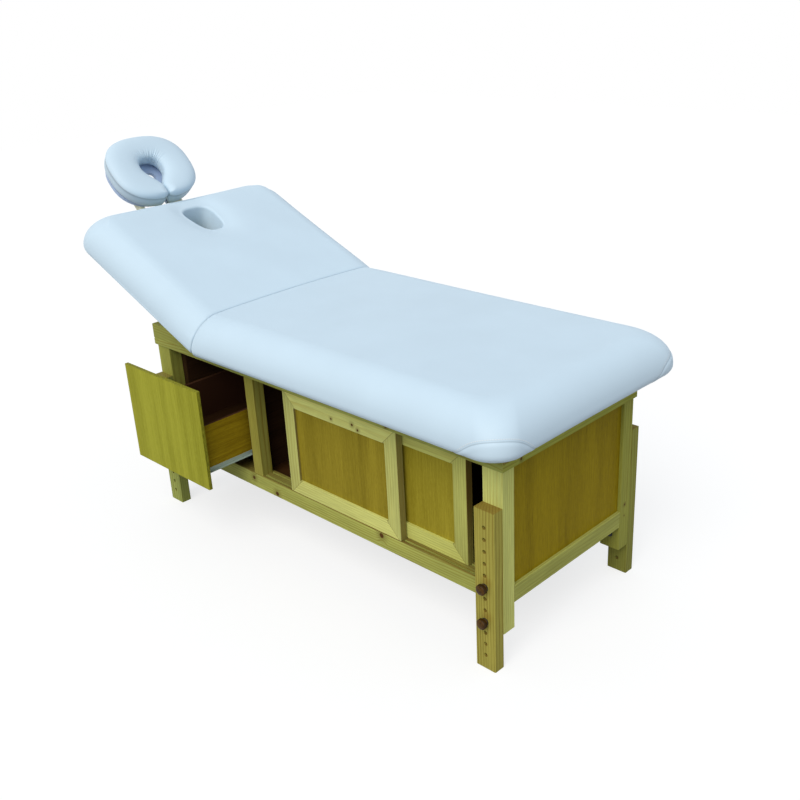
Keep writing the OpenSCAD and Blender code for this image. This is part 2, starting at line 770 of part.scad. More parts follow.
module foot_board() {
  color(ply) difference() {
    translate([seam_x + seam_gap, ym - pad_w / 2 + board_in, board_z])
      cube([foot_len - board_in - seam_gap, pad_w - 2 * board_in, board_t]);
    translate([seam_x, ym, board_z + seat_gap]) disc_room();
  }
}

// Head pad and its board, with the face hole through both.
head_rows = concat(
  [for (a = low_angles)
    let(inset = head_low_r * (1 - sin(a))) [inset, head_low_r * (1 - cos(a)), head_corner_r - inset]],
  upper_levels(pad_t, head_corner_r)
);
module face_oval(grow) {
  run = (face_hole_l - face_hole_w) / 2;
  for (x = [-run, run]) translate([x, 0]) circle(d = face_hole_w + 2 * grow, $fn = 48);
  square([2 * run, face_hole_w + 2 * grow], center = true);
}
module head_cushion() {
  color(vinyl) on_head() difference() {
    mirror([1, 0, 0]) lofted(pad_stack(head_rows, head_len, hinge_rise, pad_t));
    mirror([1, 0, 0]) translate([-cut, -pad_w / 2 + board_in - slip, -cut])
      cube([head_len - board_in + cut + slip, pad_w - 2 * board_in + 2 * slip, board_t + slip + cut]);
    translate([-face_hole_s, 0, 0]) linear_extrude(pad_t + 2 * crown) face_oval(0);
    translate([-face_hole_s, 0, pad_t + crown - lip_h])
      linear_extrude(lip_h + cut, scale = lip_grow) face_oval(0);
    disc_room();
  }
}
module head_board() {
  color(ply) on_head() difference() {
    mirror([1, 0, 0]) translate([seam_gap, -pad_w / 2 + board_in, 0])
      cube([head_len - board_in - seam_gap, pad_w - 2 * board_in, board_t]);
    translate([-face_hole_s, 0, -cut]) linear_extrude(board_t + 2 * cut) face_oval(0);
    disc_room();
  }
}

// Battens for the hinge arms and socket blocks for the prongs, under the head board.
module head_underframe() {
  batten_y = rail_inner - 2 * plate_t - seat_gap - batten_w;
  socket_l = head_len - board_in - socket_s0;
  color(pine) on_head() left_and_right() {
    translate([-batten_s1, -batten_y - batten_w, -batten_h])
      bar_x(batten_s1 - batten_s0, batten_w, batten_h, small_ease);
    difference() {
      translate([-head_len + board_in, -arm_gap / 2 - socket_w / 2, -socket_h])
        bar_x(socket_l, socket_w, socket_h, small_ease);
      translate([-head_len + board_in - cut, -arm_gap / 2, prong_n])
        rod_x(prong_d + 4 * spin_gap, socket_l + 2 * cut);
    }
  }
}

// Ratchet hinges: the lower arms on the side rails, with the pins, and the upper arms on the battens.
module ratchet_base_arms() {
  color(steel) translate([seam_x, ym, hinge_z]) left_and_right() {
    translate([0, -rail_inner, 0]) {
      rod_y(2 * disc_r, plate_t);
      translate([-neck_w / 2, 0, -arm_drop]) cube([neck_w, plate_t, arm_drop]);
      translate([-neck_w / 2, 0, -arm_drop - arm_bar_h / 2]) bar_x(base_arm_l, plate_t, arm_bar_h, seat_gap);
      rod_y(hinge_pin_d, 2 * plate_t + 2 * seat_gap);
      translate([0, 2 * plate_t + 2 * seat_gap, 0]) rod_y(hinge_pin_head_d, plate_t);
    }
  }
}
module ratchet_head_arms() {
  color(steel) on_head() left_and_right() translate([0, -rail_inner + plate_t + seat_gap, 0]) difference() {
    union() {
      translate([0, 0, hinge_rise]) rod_y(2 * head_disc_r, plate_t);
      translate([-neck_w / 2, 0, -batten_h / 2]) cube([neck_w, plate_t, batten_h / 2 + hinge_rise]);
      translate([-head_arm_l, 0, -batten_h / 2 - arm_bar_h / 2])
        bar_x(head_arm_l + neck_w / 2, plate_t, arm_bar_h, seat_gap);
    }
    translate([0, -cut, hinge_rise]) rod_y(hinge_pin_d + 2 * spin_gap, plate_t + 2 * cut);
  }
}

// Face cradle: prongs in the sockets, a cross block, and arms that turn on its rod.
block_near = 18;
block_far = 16;
bar_depth = 18;
bar_over = 12;
block_s0 = cradle_s - block_near;
block_s1 = cradle_s + block_far;
bar_s0 = block_s0 - bar_depth;
block_low = prong_n - prong_d;
rod_d = 8;
block_cover_share = 1.25;
block_half = arm_gap / 2 - arm_t / 2 - seat_gap;
bar_half = arm_gap / 2 + bar_over;
cam_out = 14;
cam_y = arm_gap / 2 + arm_t / 2 + cam_out;
cam_r = 11;
cam_h = 20;
cam_pin_d = 5;
eye_d = 13;
eye_h = 9;
lever_l = 44;
lever_w = 14;
lever_t = 9;
module cradle_rods() {
  prong_s0 = socket_s0 + run_gap;
  rod_end = arm_gap / 2 + arm_t / 2 + run_gap / 2;
  color(steel) on_head() {
    left_and_right() translate([-block_s0 + run_gap, -arm_gap / 2, prong_n])
      rod_x(prong_d, block_s0 - prong_s0 - run_gap);
    translate([-cradle_s, -cam_y, cradle_n]) rod_y(rod_d, cam_y + rod_end + rod_d / 2);
    translate([-cradle_s, rod_end, cradle_n]) rod_y(2 * rod_d, rod_d / 2);
    translate([-cradle_s, -cam_y, cradle_n - eye_h / 2]) cylinder(d = eye_d, h = eye_h, $fn = 48);
    translate([-cradle_s, -cam_y, cradle_n - cam_h / 2]) cylinder(d = cam_pin_d, h = cam_h, $fn = 48);
  }
}
module cradle_base() {
  block_top = cradle_n + rod_d * block_cover_share;
  color(pine) on_head() difference() {
    union() {
      translate([-block_s1, -block_half, block_low])
        cube([block_s1 - block_s0 + run_gap, 2 * block_half, block_top - block_low]);
      translate([-block_s0, -bar_half, block_low])
        cube([block_s0 - bar_s0, 2 * bar_half, cradle_n - block_low]);
    }
    left_and_right() translate([-block_s0 + run_gap - slip, -arm_gap / 2, prong_n])
      rod_x(prong_d + 2 * slip, block_s0 - bar_s0 + cut);
    translate([-cradle_s, -block_half - cut, cradle_n]) rod_y(rod_d + 2 * slip, 2 * block_half + 2 * cut);
  }
}
arm_reach_share = 0.28;
arm_tip_share = 0.2;
arm_knee_shares = [0.6, 0.7];
arm_l = cradle_centre + face_l * arm_reach_share;
module cradle_arms() {
  side = [
    [0, -arm_below], [0, arm_top], [-arm_l, arm_top], [-arm_l, arm_top * arm_tip_share],
    [-arm_l * arm_knee_shares[0], -arm_below * arm_knee_shares[1]]
  ];
  color(pine) on_cradle() left_and_right() translate([0, -arm_gap / 2 + arm_t / 2, 0]) difference() {
    union() {
      rotate([90, 0, 0]) linear_extrude(arm_t) polygon(side);
      rotate([90, 0, 0]) cylinder(r = arm_below, h = arm_t, $fn = 48);
    }
    translate([0, cut, 0]) rotate([90, 0, 0])
      cylinder(d = rod_d + 2 * spin_gap, h = arm_t + 2 * cut, $fn = 48);
  }
}
module cradle_cam_lever() {
  color(black) on_head() translate([-cradle_s, -cam_y, cradle_n]) difference() {
    union() {
      translate([0, 0, -cam_h / 2]) cylinder(r = cam_r, h = cam_h, $fn = 48);
      translate([-lever_w / 2, -lever_l, -lever_t / 2]) bar_y(lever_l, lever_w, lever_t, small_ease);
    }
    translate([0, 0, -cam_h / 2 - cut]) cylinder(d = cam_pin_d + 2 * spin_gap, h = cam_h + 2 * cut, $fn = 48);
    translate([0, 0, -eye_h / 2 - seat_gap])
      cylinder(d = eye_d + 2 * seat_gap, h = eye_h + 2 * seat_gap, $fn = 48);
    translate([-rod_d / 2 - seat_gap, -rod_d / 2 - seat_gap, -eye_h / 2 - seat_gap])
      cube([cam_r + rod_d / 2 + cut, cam_r + rod_d / 2 + cut, eye_h + 2 * seat_gap]);
  }
}

// Horseshoe: a rounded oval ring, open towards the table.
face_power = 2.5;
open_angle = 5;
face_stations = 40;
function oval(a, b, t) = [
  a * sign(cos(t)) * pow(abs(cos(t)), 2 / face_power),
  b * sign(sin(t)) * pow(abs(sin(t)), 2 / face_power)
];
ring_a = face_l / 2 - face_band / 2;
ring_b = face_w / 2 - face_band / 2;
module whole_oval(a, b) polygon([for (i = [0 : face_stations - 1]) oval(a, b, 360 * i / face_stations)]);
module cradle_platform() {
  out = face_band / 2 - platform_in;
  color(ply) on_cradle() translate([-cradle_centre, 0, arm_top]) linear_extrude(platform_t) difference() {
    whole_oval(ring_a + out, ring_b + out);
    whole_oval(platform_hole_l / 2, platform_hole_w / 2);
    translate([0, -platform_slot / 2]) square([face_l, platform_slot]);
  }
}
ring_points = 14;
end_shares = [0.45, 0.78, 0.94];
function ring_scale(i) =
  let(k = min(i, face_stations - i)) k < len(end_shares) ? end_shares[k] : 1;
function ring_station(i) =
  let(
    t = open_angle + (360 - 2 * open_angle) * i / face_stations,
    p = oval(ring_a, ring_b, t), q = oval(ring_a, ring_b, t + 1) - oval(ring_a, ring_b, t - 1),
    n = [q[1], -q[0]] / norm(q), g = ring_scale(i)
  )
  [for (k = [0 : ring_points - 1])
    let(a = 360 * k / ring_points, u = oval(face_band / 2 * g, face_t / 2 * g, a))
    [p[0] + n[0] * u[0], p[1] + n[1] * u[0], face_t / 2 + u[1]]];
module face_cushion() {
  color(vinyl) on_cradle() translate([-cradle_centre, 0, arm_top + platform_t])
    lofted([for (i = [face_stations : -1 : 0]) ring_station(i)]);
}

post_front_head();
post_front_foot();
post_back_head();
post_back_foot();
leg_bolts();
rim_front();
rim_back();
rim_head();
rim_foot();
top_board();
side_rail_front();
side_rail_back();
cross_rail_head();
cross_rails();
lower_rail_front();
lower_rail_back();
lower_rail_head();
lower_rail_foot();
stile_front();
back_panels();
end_panels();
drawer_bay_sides();
cabinet_floor();
floor_bearers();
slide_channels();
foot_board();
foot_cushion();
ratchet_base_arms();
leg_front_head();
leg_front_foot();
leg_back_head();
leg_back_foot();
knob_front_head_upper();
knob_front_head_lower();
knob_front_foot_upper();
knob_front_foot_lower();
knob_back_head_upper();
knob_back_head_lower();
knob_back_foot_upper();
knob_back_foot_lower();
drawer_front();
drawer_box();
drawer_bottom();
drawer_runners();
front_rollers();
rear_rollers();
door_front_frame();
door_front_panel();
door_rear_frame();
door_rear_panel();
head_board();
head_cushion();
head_underframe();
ratchet_head_arms();
cradle_rods();
cradle_base();
cradle_arms();
cradle_cam_lever();
cradle_platform();
face_cushion();
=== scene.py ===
"""Treatment table on a wooden cabinet: upholstery, finishes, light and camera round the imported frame."""

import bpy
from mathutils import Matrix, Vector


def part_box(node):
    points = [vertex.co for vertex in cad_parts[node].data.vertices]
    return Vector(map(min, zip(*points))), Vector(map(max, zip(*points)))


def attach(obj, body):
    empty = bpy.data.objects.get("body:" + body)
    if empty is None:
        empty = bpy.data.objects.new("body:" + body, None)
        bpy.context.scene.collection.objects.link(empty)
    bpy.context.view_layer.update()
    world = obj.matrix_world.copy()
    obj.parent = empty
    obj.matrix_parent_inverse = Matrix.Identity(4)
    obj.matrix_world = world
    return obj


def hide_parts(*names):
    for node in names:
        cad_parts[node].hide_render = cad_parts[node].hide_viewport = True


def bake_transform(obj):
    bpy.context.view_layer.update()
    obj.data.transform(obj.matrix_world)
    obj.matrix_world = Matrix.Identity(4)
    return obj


bl_info = {
    "name": "Treatment table on a cabinet",
    "version": (1, 0, 0),
    "blender": (4, 5, 0),
    "location": "3D view > Sidebar > Table",
    "description": "Upholstery, knobs, wood and metal finishes and a studio for a treatment table",
    "category": "Object",
}

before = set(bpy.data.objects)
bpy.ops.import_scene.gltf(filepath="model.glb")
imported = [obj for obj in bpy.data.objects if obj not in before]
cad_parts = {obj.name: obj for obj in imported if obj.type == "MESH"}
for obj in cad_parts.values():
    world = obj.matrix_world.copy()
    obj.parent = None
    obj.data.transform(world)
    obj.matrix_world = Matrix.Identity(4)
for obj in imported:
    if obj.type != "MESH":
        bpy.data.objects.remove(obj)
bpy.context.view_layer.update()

import math

import bmesh
import bpy
import numpy as np
from bpy.props import FloatProperty, FloatVectorProperty, PointerProperty

MM = 0.001


def corners(node):
    """Lowest and highest corner of a CAD node as two arrays, in metres."""
    low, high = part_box(node)
    return np.array(low, float), np.array(high, float)


def colour(code):
    """An sRGB hex code as linear red, green, blue and alpha."""
    values = [int(code[i:i + 2], 16) / 255 for i in (1, 3, 5)]
    return tuple(v / 12.92 if v <= 0.04045 else ((v + 0.055) / 1.055) ** 2.4 for v in values) + (1.0,)


# Places that the frame gives: the seam between the pads, their middle, the rim's top and the hinge line
BOARD_LOW, BOARD_HIGH = corners("foot_board")
SEAM_X = float(BOARD_LOW[0]) - 1.5 * MM
MIDDLE_Y = float(BOARD_LOW[1] + BOARD_HIGH[1]) / 2
RIM_TOP = float(corners("rim_front")[1][2])
HINGE_RISE = 29.7 * MM
HINGE_Z = float(BOARD_LOW[2]) + 0.3 * MM + HINGE_RISE
TILT = math.radians(23)
CRADLE_TILT = math.radians(21)
# The pads end at the seam on the plane that halves the angle between them
LEAN = math.tan(TILT / 2)
PAD_LENGTH = 1154 * MM
PAD_WIDTH = 770 * MM
HEAD_LENGTH = 650 * MM
# Radius of both pads' upper edge, and the heights of its centre: over the rim, and over the head board's
# underside
EDGE = 94 * MM
FOOT_EDGE_Z = 68.3 * MM
HEAD_EDGE_Z = 19 * MM
# The fixed pad flares out from the rim up to this height, and its belly goes this much further out
FLARE_TOP = 44 * MM
BELLY = 22 * MM
# Its corners at the foot end, at the rim and from the belly up
RIM_CORNER = 14 * MM
FOOT_CORNER = 73 * MM
# The seam over each of them: its height at both ends, its rise to the middle and half its length
SEAM_LOW = 88 * MM
SEAM_RISE = 69 * MM
SEAM_HALF = 128 * MM
# The gap under both pads, and the hollow over rails and board in the fixed one, as (inset, height)
CLEAR = 0.6 * MM
HOLLOW = np.array([[100.6, 0.6], [100.6, 49], [34.2, 49], [34.2, 61.4], [385, 61.4]]) * MM
# The head pad's corners at its head end, its low edge's radius, and the inset and top of the board in it
HEAD_CORNER = 92 * MM
LOW_EDGE = 18 * MM
BOARD_IN = 34 * MM
HEAD_BOARD = 12.3 * MM
# The middle of the face hole, along the head section and across it
FACE_HOLE = np.array([-481 * MM, 0])
# How far a pad's sides are drawn in at the middle of their length
SIDE_DRAW = 4 * MM
# The cradle's pivot: along the head section from the hinge line, and below the head board's underside
CRADLE_REACH = 708 * MM
CRADLE_DROP = 3 * MM
# Spacing of a pad's points where it curves and where it is plain
FINE = 3.8 * MM
COARSE = 12 * MM
# Kept as the distance to a seam at points that have none near
NO_SEAM = 200 * MM


# Shapes

def mesh_piece(name, points, faces, attributes=None, merge=0.02 * MM):
    """A mesh object at the origin from points, faces and numbers kept for each point.
    Doubles closer than merge are joined and every face is turned outwards."""
    mesh = bpy.data.meshes.new(name)
    mesh.from_pydata(points.tolist(), [], faces)
    for key, values in (attributes or {}).items():
        stored = mesh.attributes.new(key, "FLOAT", "POINT")
        stored.data.foreach_set("value", np.ascontiguousarray(values, np.float32).ravel())
    work = bmesh.new()
    work.from_mesh(mesh)
    bmesh.ops.remove_doubles(work, verts=work.verts, dist=merge)
    bmesh.ops.recalc_face_normals(work, faces=work.faces)
    work.to_mesh(mesh)
    work.free()
    mesh.shade_smooth()
    piece = bpy.data.objects.new(name, mesh)
    bpy.context.scene.collection.objects.link(piece)
    return piece


def grid_faces(rows, columns, close_rows=False, close_columns=False, first=0, flip=False):
    """Quads between neighbours of a grid whose points are stored row by row from the index first."""
    r = np.arange(rows if close_rows else rows - 1)[:, None]
    c = np.arange(columns if close_columns else columns - 1)[None, :]
    r1 = (r + 1) % rows
    c1 = (c + 1) % columns
    quads = np.stack([r * columns + c, r * columns + c1, r1 * columns + c1, r1 * columns + c], axis=-1)
    quads = quads.reshape(-1, 4) + first
    return (quads[:, ::-1] if flip else quads).tolist()


def smooth_step(value):
    """0 below 0, 1 above 1 and a smooth ramp between them."""
    value = np.clip(value, 0, 1)
    return value * value * (3 - 2 * value)


def bell(distance, width):
    """A bell curve of height 1, exp(-(distance / width)^2)."""
    return np.exp(-(distance / width) ** 2)


def quarter(value):
    """How far a quarter round of unit radius has turned in at a distance from its tangent line."""
    near = 1 - np.clip(value, 0, 1)
    return 1 - np.sqrt(1 - near * near)


def run_along(points):
    """Distance along a polyline at each of its points."""
    return np.concatenate([[0], np.cumsum(np.linalg.norm(np.diff(points, axis=0), axis=1))])


def shares_of(total, near, far, fine, coarse):
    """Shares from 0 to 1 along a run: fine steps over its first and last stretch, coarse ones between."""
    first = np.arange(0, near, fine)
    last = total - np.arange(0, far, fine)[::-1]
    middle = np.linspace(near, total - far, max(int((total - near - far) / coarse), 2))
    return np.unique(np.round(np.concatenate([first, middle, last]) / total, 6))


def surface_normals(points, inside):
    """Unit normals of a grid of points, pointing away from a point inside it."""
    normal = np.cross(np.gradient(points, axis=0), np.gradient(points, axis=1))
    normal /= np.maximum(np.linalg.norm(normal, axis=2, keepdims=True), 1e-12)
    side = np.sign(np.sum(normal * (points - inside), axis=2, keepdims=True))
    return normal * np.where(side == 0, 1, side)


def with_height(flat, height):
    """Flat points with a height, one for all or one each."""
    return np.concatenate([flat, np.broadcast_to(height, len(flat))[:, None]], axis=1)


def turned(points, angle):
    """Points turned about the Y axis, so that the far end at negative x goes up."""
    c, s = math.cos(angle), math.sin(angle)
    return np.stack([c * points[..., 0] + s * points[..., 2], points[..., 1],
                     c * points[..., 2] - s * points[..., 0]], axis=-1)


def on_head(points):
    """From the head section's own frame (along the pad, across, up from the board) to the object's frame."""
    return turned(points - [0, 0, HINGE_RISE], TILT) + [SEAM_X, MIDDLE_Y, HINGE_Z]


def on_cradle(points):
    """From the cradle's frame, at its pivot, to the object's frame."""
    return on_head(turned(points, CRADLE_TILT) - [CRADLE_REACH, 0, CRADLE_DROP])


def seam_gap(above):
    """Where a pad ends at the seam, at a height above the hinge line: 0.3 mm from it, less a wedge that lets
    the pads meet when the head end is raised, and almost straight down below the line so that they clear
    when flat."""
    return np.maximum(0.3 * MM + above * LEAN, -0.8 * MM)


def seam_pull(distance, shoulder, roll):
    """How far the skin is drawn in beside the joint of the two pads: a quarter round of radius roll at the
    seam and, over the pads' shoulders, a soft dip of 3.5 mm that fades out over 38 mm."""
    return roll * quarter(distance / roll) + 3.5 * MM * np.exp(-distance / (38 * MM)) * shoulder


def u_path(length, x0, inset, radius, draw, straight, arc, across):
    """An open path round a pad, with x from the seam: along the front, round a corner, across the far end,
    round the other corner and back. Straight runs are their ends mixed by shares, less a half sine wave of
    height draw; corners are quarter circles."""
    x1, y1 = length - inset, PAD_WIDTH / 2 - inset
    radius = min(radius, y1)
    turn = np.pi / 2 * arc[1:-1]
    front = np.stack([x0 + (x1 - radius - x0) * straight, draw * np.sin(np.pi * straight) - y1], axis=1)
    corner = np.stack([x1 - radius + radius * np.sin(turn), radius - y1 - radius * np.cos(turn)], axis=1)
    end = np.stack([x1 - draw * np.sin(np.pi * across), (2 * across - 1) * (y1 - radius)], axis=1)
    half = np.concatenate([front, corner])
    return np.concatenate([half, end, half[::-1] * [1, -1]])


def foot_profile(crown_rise):
    """The fixed pad's section as (inset, height): a straight flare from the rim, a quarter ellipse as the
    belly, a quarter circle of radius 94 mm as the edge and a crown that rises to the middle as a
    parabola."""
    flare = np.linspace((97 * MM, CLEAR), (BELLY, FLARE_TOP), 23)
    t = np.linspace(0, np.pi / 2, 10)[1:]
    belly_z = FLARE_TOP + (FOOT_EDGE_Z - FLARE_TOP) * (1 - np.cos(t))
    belly = np.stack([BELLY * (1 - np.sin(t)), belly_z], axis=1)
    a = np.linspace(0, np.pi / 2, 40)[1:]
    edge = np.stack([EDGE * (1 - np.cos(a)), FOOT_EDGE_Z + EDGE * np.sin(a)], axis=1)
    s = np.linspace(0, 1, 17)[1:]
    crown_z = FOOT_EDGE_Z + EDGE + crown_rise * (1 - (1 - s) ** 2)
    crown = np.stack([EDGE + (PAD_WIDTH / 2 - EDGE) * s, crown_z], axis=1)
    return np.concatenate([flare, belly, edge, crown])


def corner_seam(profile_run, path_run, middles):
    """Signed distance from the seams of the two foot corners. Each seam is a flattened parabola: its height
    along the section is SEAM_LOW + SEAM_RISE (1 - |s|^2.2), with s the distance round the path from the
    middle of the corner, as a share of SEAM_HALF."""
    s = (path_run[None, :, None] - middles) / SEAM_HALF
    height = SEAM_LOW + SEAM_RISE * (1 - np.abs(s) ** 2.2)
    slope = 2.2 * SEAM_RISE / SEAM_HALF * np.abs(s) ** 1.2
    away = (profile_run[:, None, None] - height) / np.sqrt(1 + slope ** 2)
    away = np.where(np.abs(s) < 1.45, away, NO_SEAM)
    nearest = np.argmin(np.abs(s), axis=2)[0]
    return away[:, np.arange(len(path_run)), nearest]


def foot_pad(sizes):
    """The fixed pad: its section carried round three sides, closed at the seam and hollow over rails and
    board. Along its normals the skin is then drawn in at the seam and in the folds of the corner seams."""
    outer = foot_profile(sizes.crown)
    run = PAD_LENGTH - FOOT_CORNER
    steps = sizes.roll * (1 - np.sin(np.linspace(np.pi / 2, 0, 5)))
    straight = shares_of(run, 60 * MM, 175 * MM, FINE, COARSE)
    straight = np.unique(np.concatenate([steps / run, straight[straight > (sizes.roll + 1 * MM) / run]]))
    arc = np.linspace(0, 1, 33)
    across = shares_of(PAD_WIDTH - 2 * FOOT_CORNER, 115 * MM, 115 * MM, FINE, COARSE)

    def ring(inset, height, radius, draw):
        """One turn round the pad."""
        x0 = seam_gap(height - (HINGE_Z - RIM_TOP))
        return with_height(u_path(PAD_LENGTH, x0, inset, radius, draw, straight, arc, across), height)

    share = np.clip(outer[:, 1] / FLARE_TOP, 0, 1)
    past = np.clip((outer[:, 0] - EDGE) / (PAD_WIDTH / 2 - EDGE), 0, 1) * (outer[:, 1] > FOOT_EDGE_Z)
    radii = (RIM_CORNER + (FOOT_CORNER - RIM_CORNER) * share ** 0.8) * (1 - 0.75 * past)
    draws = SIDE_DRAW * np.clip(outer[:, 1] / (80 * MM), 0, 1) * (1 - past)
    skin = np.stack([ring(i, z, r, d) for (i, z), r, d in zip(outer, radii, draws)])
    lining = np.stack([ring(i, z, 2 * MM, 0) for i, z in HOLLOW])
    distance = skin[:, :, 0] - skin[:, :1, 0]
    normal = surface_normals(skin, np.array([PAD_LENGTH / 2, 0, 80 * MM]))
    profile_run = run_along(outer)
    path_run = run_along(skin[int(np.argmin(outer[:, 0]))])
    rows, columns = skin.shape[:2]
    middle = len(straight) + len(arc) // 2 - 1
    seam = corner_seam(profile_run, path_run, path_run[[middle, columns - 1 - middle]])
    shoulder = bell(profile_run - 200 * MM, 52 * MM)[:, None]
    pull = seam_pull(distance, shoulder, sizes.roll)
    # A sewn fold 1.3 mm deep, with a low roll below it
    groove = 1.3 * MM * bell(seam, 2.6 * MM) - 0.7 * MM * bell(seam + 9 * MM, 7 * MM)
    # The skin keeps its place along X at the seam, so that the two pads meet in one plane
    still = np.where(distance[..., None] < 5 * MM, [0, 1, 1], 1)
    skin = skin - normal * still * (pull + groove)[..., None]
    points = np.concatenate([skin.reshape(-1, 3), lining.reshape(-1, 3)]) + [SEAM_X, MIDDLE_Y, RIM_TOP]
    first = rows * columns
    faces = grid_faces(rows, columns) + grid_faces(len(HOLLOW), columns, first=first, flip=True)
    j = np.arange(columns - 1)
    faces += np.stack([j + 1, j, first + j, first + j + 1], axis=1).tolist()
    # Closed ends at the seam: each step of the skin's section is tied to the nearest corner of the lining's
    keys = np.searchsorted([0.06, 0.12, 0.18, 0.999], np.linspace(0, 1, rows), side="right")
    k = np.arange(rows - 1)
    for column, order in ((0, 1), (columns - 1, -1)):
        low, high = first + keys[:-1] * columns + column, first + keys[1:] * columns + column
        quads = np.stack([k * columns + column, (k + 1) * columns + column, high, low], axis=1)
        faces += [list(dict.fromkeys(face))[::order] for face in quads.tolist()]
    away = np.full((len(HOLLOW), columns), NO_SEAM)
    return mesh_piece("foot_pad", points, faces, {
        "seam_distance": np.concatenate([seam, away]), "joint_distance": np.concatenate([distance, away]),
        "seam_run": np.concatenate([np.broadcast_to(path_run, (rows, columns)), away])}, 0.3 * MM)


def ring_path(x0, inset, radius, draw, seam_radius, shares):
    """A closed path round the head pad: front side, head end, back side and seam end, with rounded corners.
    Its head end is at negative x. shares are steps along the sides, far corners, near corners and ends."""
    side, far_arc, near_arc, end = shares
    y1 = PAD_WIDTH / 2 - inset
    s = min(seam_radius, y1)
    turn = np.pi / 2 * near_arc[1:-1]
    sides = u_path(HEAD_LENGTH, x0 + s, inset, radius, draw, side, far_arc, end)
    near = np.stack([x0 + s - s * np.sin(turn), y1 - s + s * np.cos(turn)], axis=1)
    seam = np.stack([np.full(len(end), x0), (1 - 2 * end) * (y1 - s)], axis=1)
    return np.concatenate([sides, near, seam, near[::-1] * [1, -1]]) * [-1, 1]


def head_inset(points):
    """Distance inwards from the head pad's outline, a rectangle with round corners at the head end."""
    x = -points[..., 0] - (HEAD_LENGTH - HEAD_CORNER)
    y = np.abs(points[..., 1]) - (PAD_WIDTH / 2 - HEAD_CORNER)
    outside = np.hypot(np.maximum(x, 0), np.maximum(y, 0)) + np.minimum(np.maximum(x, y), 0)
    return HEAD_CORNER - outside


def head_height(flat, crown_rise):
    """Height of the head pad's top over flat points: a round edge, and a crown that is a parabola."""
    depth = head_inset(flat)
    inset = np.clip(depth, 0, EDGE)
    past = np.clip((depth - EDGE) / (PAD_WIDTH / 2 - EDGE), 0, 1)
    return HEAD_EDGE_Z + np.sqrt(EDGE ** 2 - (EDGE - inset) ** 2) + crown_rise * (1 - (1 - past) ** 2)


def face_hole(direction, grow=0.0):
    """Outline of the face hole in the given directions: |x / 72|^3 + |y / 49|^3 = 1 in mm, a fifth narrower
    at the foot end and a fifth wider at the head end."""
    half_l, half_w = 72 * MM + grow, 49 * MM + grow
    c, s = np.cos(direction), np.sin(direction)
    radius = (np.abs(c / half_l) ** 3 + np.abs(s / half_w) ** 3) ** (-1 / 3)
    return np.stack([radius * c, radius * s * (1 - 0.2 * radius * c / half_l)], axis=-1) + FACE_HOLE


def head_pad(sizes):
    """The raised pad: rows run from the underside over the low edge, the side and the round edge to the top,
    in to the face hole's lip, down its wall and back, so that rows and columns both close. Rows of the top
    are the rim mixed with the lip by shares, and dip round the hole by exp(-(distance / 34 mm)^1.5)."""
    side = shares_of(HEAD_LENGTH - HEAD_CORNER - LOW_EDGE, 30 * MM, 20 * MM, 5 * MM, 10 * MM)
    shares = (side, np.linspace(0, 1, 25), np.linspace(0, 1, 7), np.linspace(0, 1, 61))

    def row(inset, height):
        """One turn round the pad, whose corners tighten as it goes in."""
        radius = max(HEAD_CORNER - inset * (1 if height < HEAD_EDGE_Z else 0.25), 10 * MM)
        draw = SIDE_DRAW * (height > 12 * MM)
        x0 = seam_gap(height - HINGE_RISE)
        seam_radius = max(6 * MM, 0.1 * inset)
        return with_height(ring_path(x0, inset, radius, draw, seam_radius, shares), height)

    rows = [row(BOARD_IN, HEAD_BOARD), row(BOARD_IN, CLEAR)]
    rows += [row(LOW_EDGE * (1 - math.sin(a)), LOW_EDGE * (1 - math.cos(a)) + 0.4 * MM)
             for a in np.linspace(0, np.pi / 2, 8)]
    rows += [row(EDGE * (1 - math.cos(a)), HEAD_EDGE_Z + EDGE * math.sin(a))
             for a in np.radians(np.linspace(0, 66, 18))]
    rim = rows[-1]
    # At the seam the last of these rows goes straight up to the height of the top
    rise = head_height(rim, sizes.crown) - rim[:, 2]
    rim += np.stack([-rise * LEAN, 0 * rise, rise], axis=1)
    direction = np.arctan2(rim[:, 1] - FACE_HOLE[1], rim[:, 0] - FACE_HOLE[0])
    hole = face_hole(direction)
    lip_edge = face_hole(direction, sizes.lip)
    for q in np.linspace(0, 1, 37)[1:] ** 1.15:
        flat = rim[:, :2] * (1 - q) + lip_edge * q
        # The cover is drawn down towards the hole
        from_hole = np.linalg.norm(flat - lip_edge, axis=1)
        off_edge = smooth_step((head_inset(flat) - 25 * MM) / (55 * MM))
        dip = sizes.dip * np.exp(-(from_hole / (34 * MM)) ** 1.5) * off_edge
        rows.append(with_height(flat, head_height(flat, sizes.crown) - dip))
    lip_z = rows[-1][:, 2]
    for a in np.linspace(0, np.pi / 2, 9)[1:]:
        flat = lip_edge + (hole - lip_edge) * math.sin(a)
        rows.append(with_height(flat, lip_z - sizes.lip * (1 - math.cos(a))))
    wall_top = rows[-1][:, 2]
    for t in np.linspace(0, 1, 9)[1:]:
        flat = FACE_HOLE + (hole - FACE_HOLE) * (1 - 0.03 * math.sin(math.pi * t))
        rows.append(with_height(flat, wall_top * (1 - t) + HEAD_BOARD * t))
    points = np.stack(rows)
    distance = -points[..., 0] - seam_gap(points[..., 2] - HINGE_RISE)
    normal = surface_normals(points, np.array([-320 * MM, 0, 55 * MM]))
    half = np.abs(points[..., 1]) / (PAD_WIDTH / 2)
    shoulder = bell(half - 0.93, 0.13) * smooth_step((points[..., 2] - 30 * MM) / (40 * MM))
    above = smooth_step((points[..., 2] - 40 * MM) / (30 * MM))
    pull = seam_pull(np.maximum(distance, 0), shoulder, sizes.roll) * above
    points = points - normal * [0, 1, 1] * pull[..., None]
    placed = on_head(points.reshape(-1, 3))
    away = np.full(len(placed), NO_SEAM)
    return mesh_piece("head_pad", placed, grid_faces(len(rows), points.shape[1], True, True),
                      {"seam_distance": away, "joint_distance": distance, "seam_run": away})


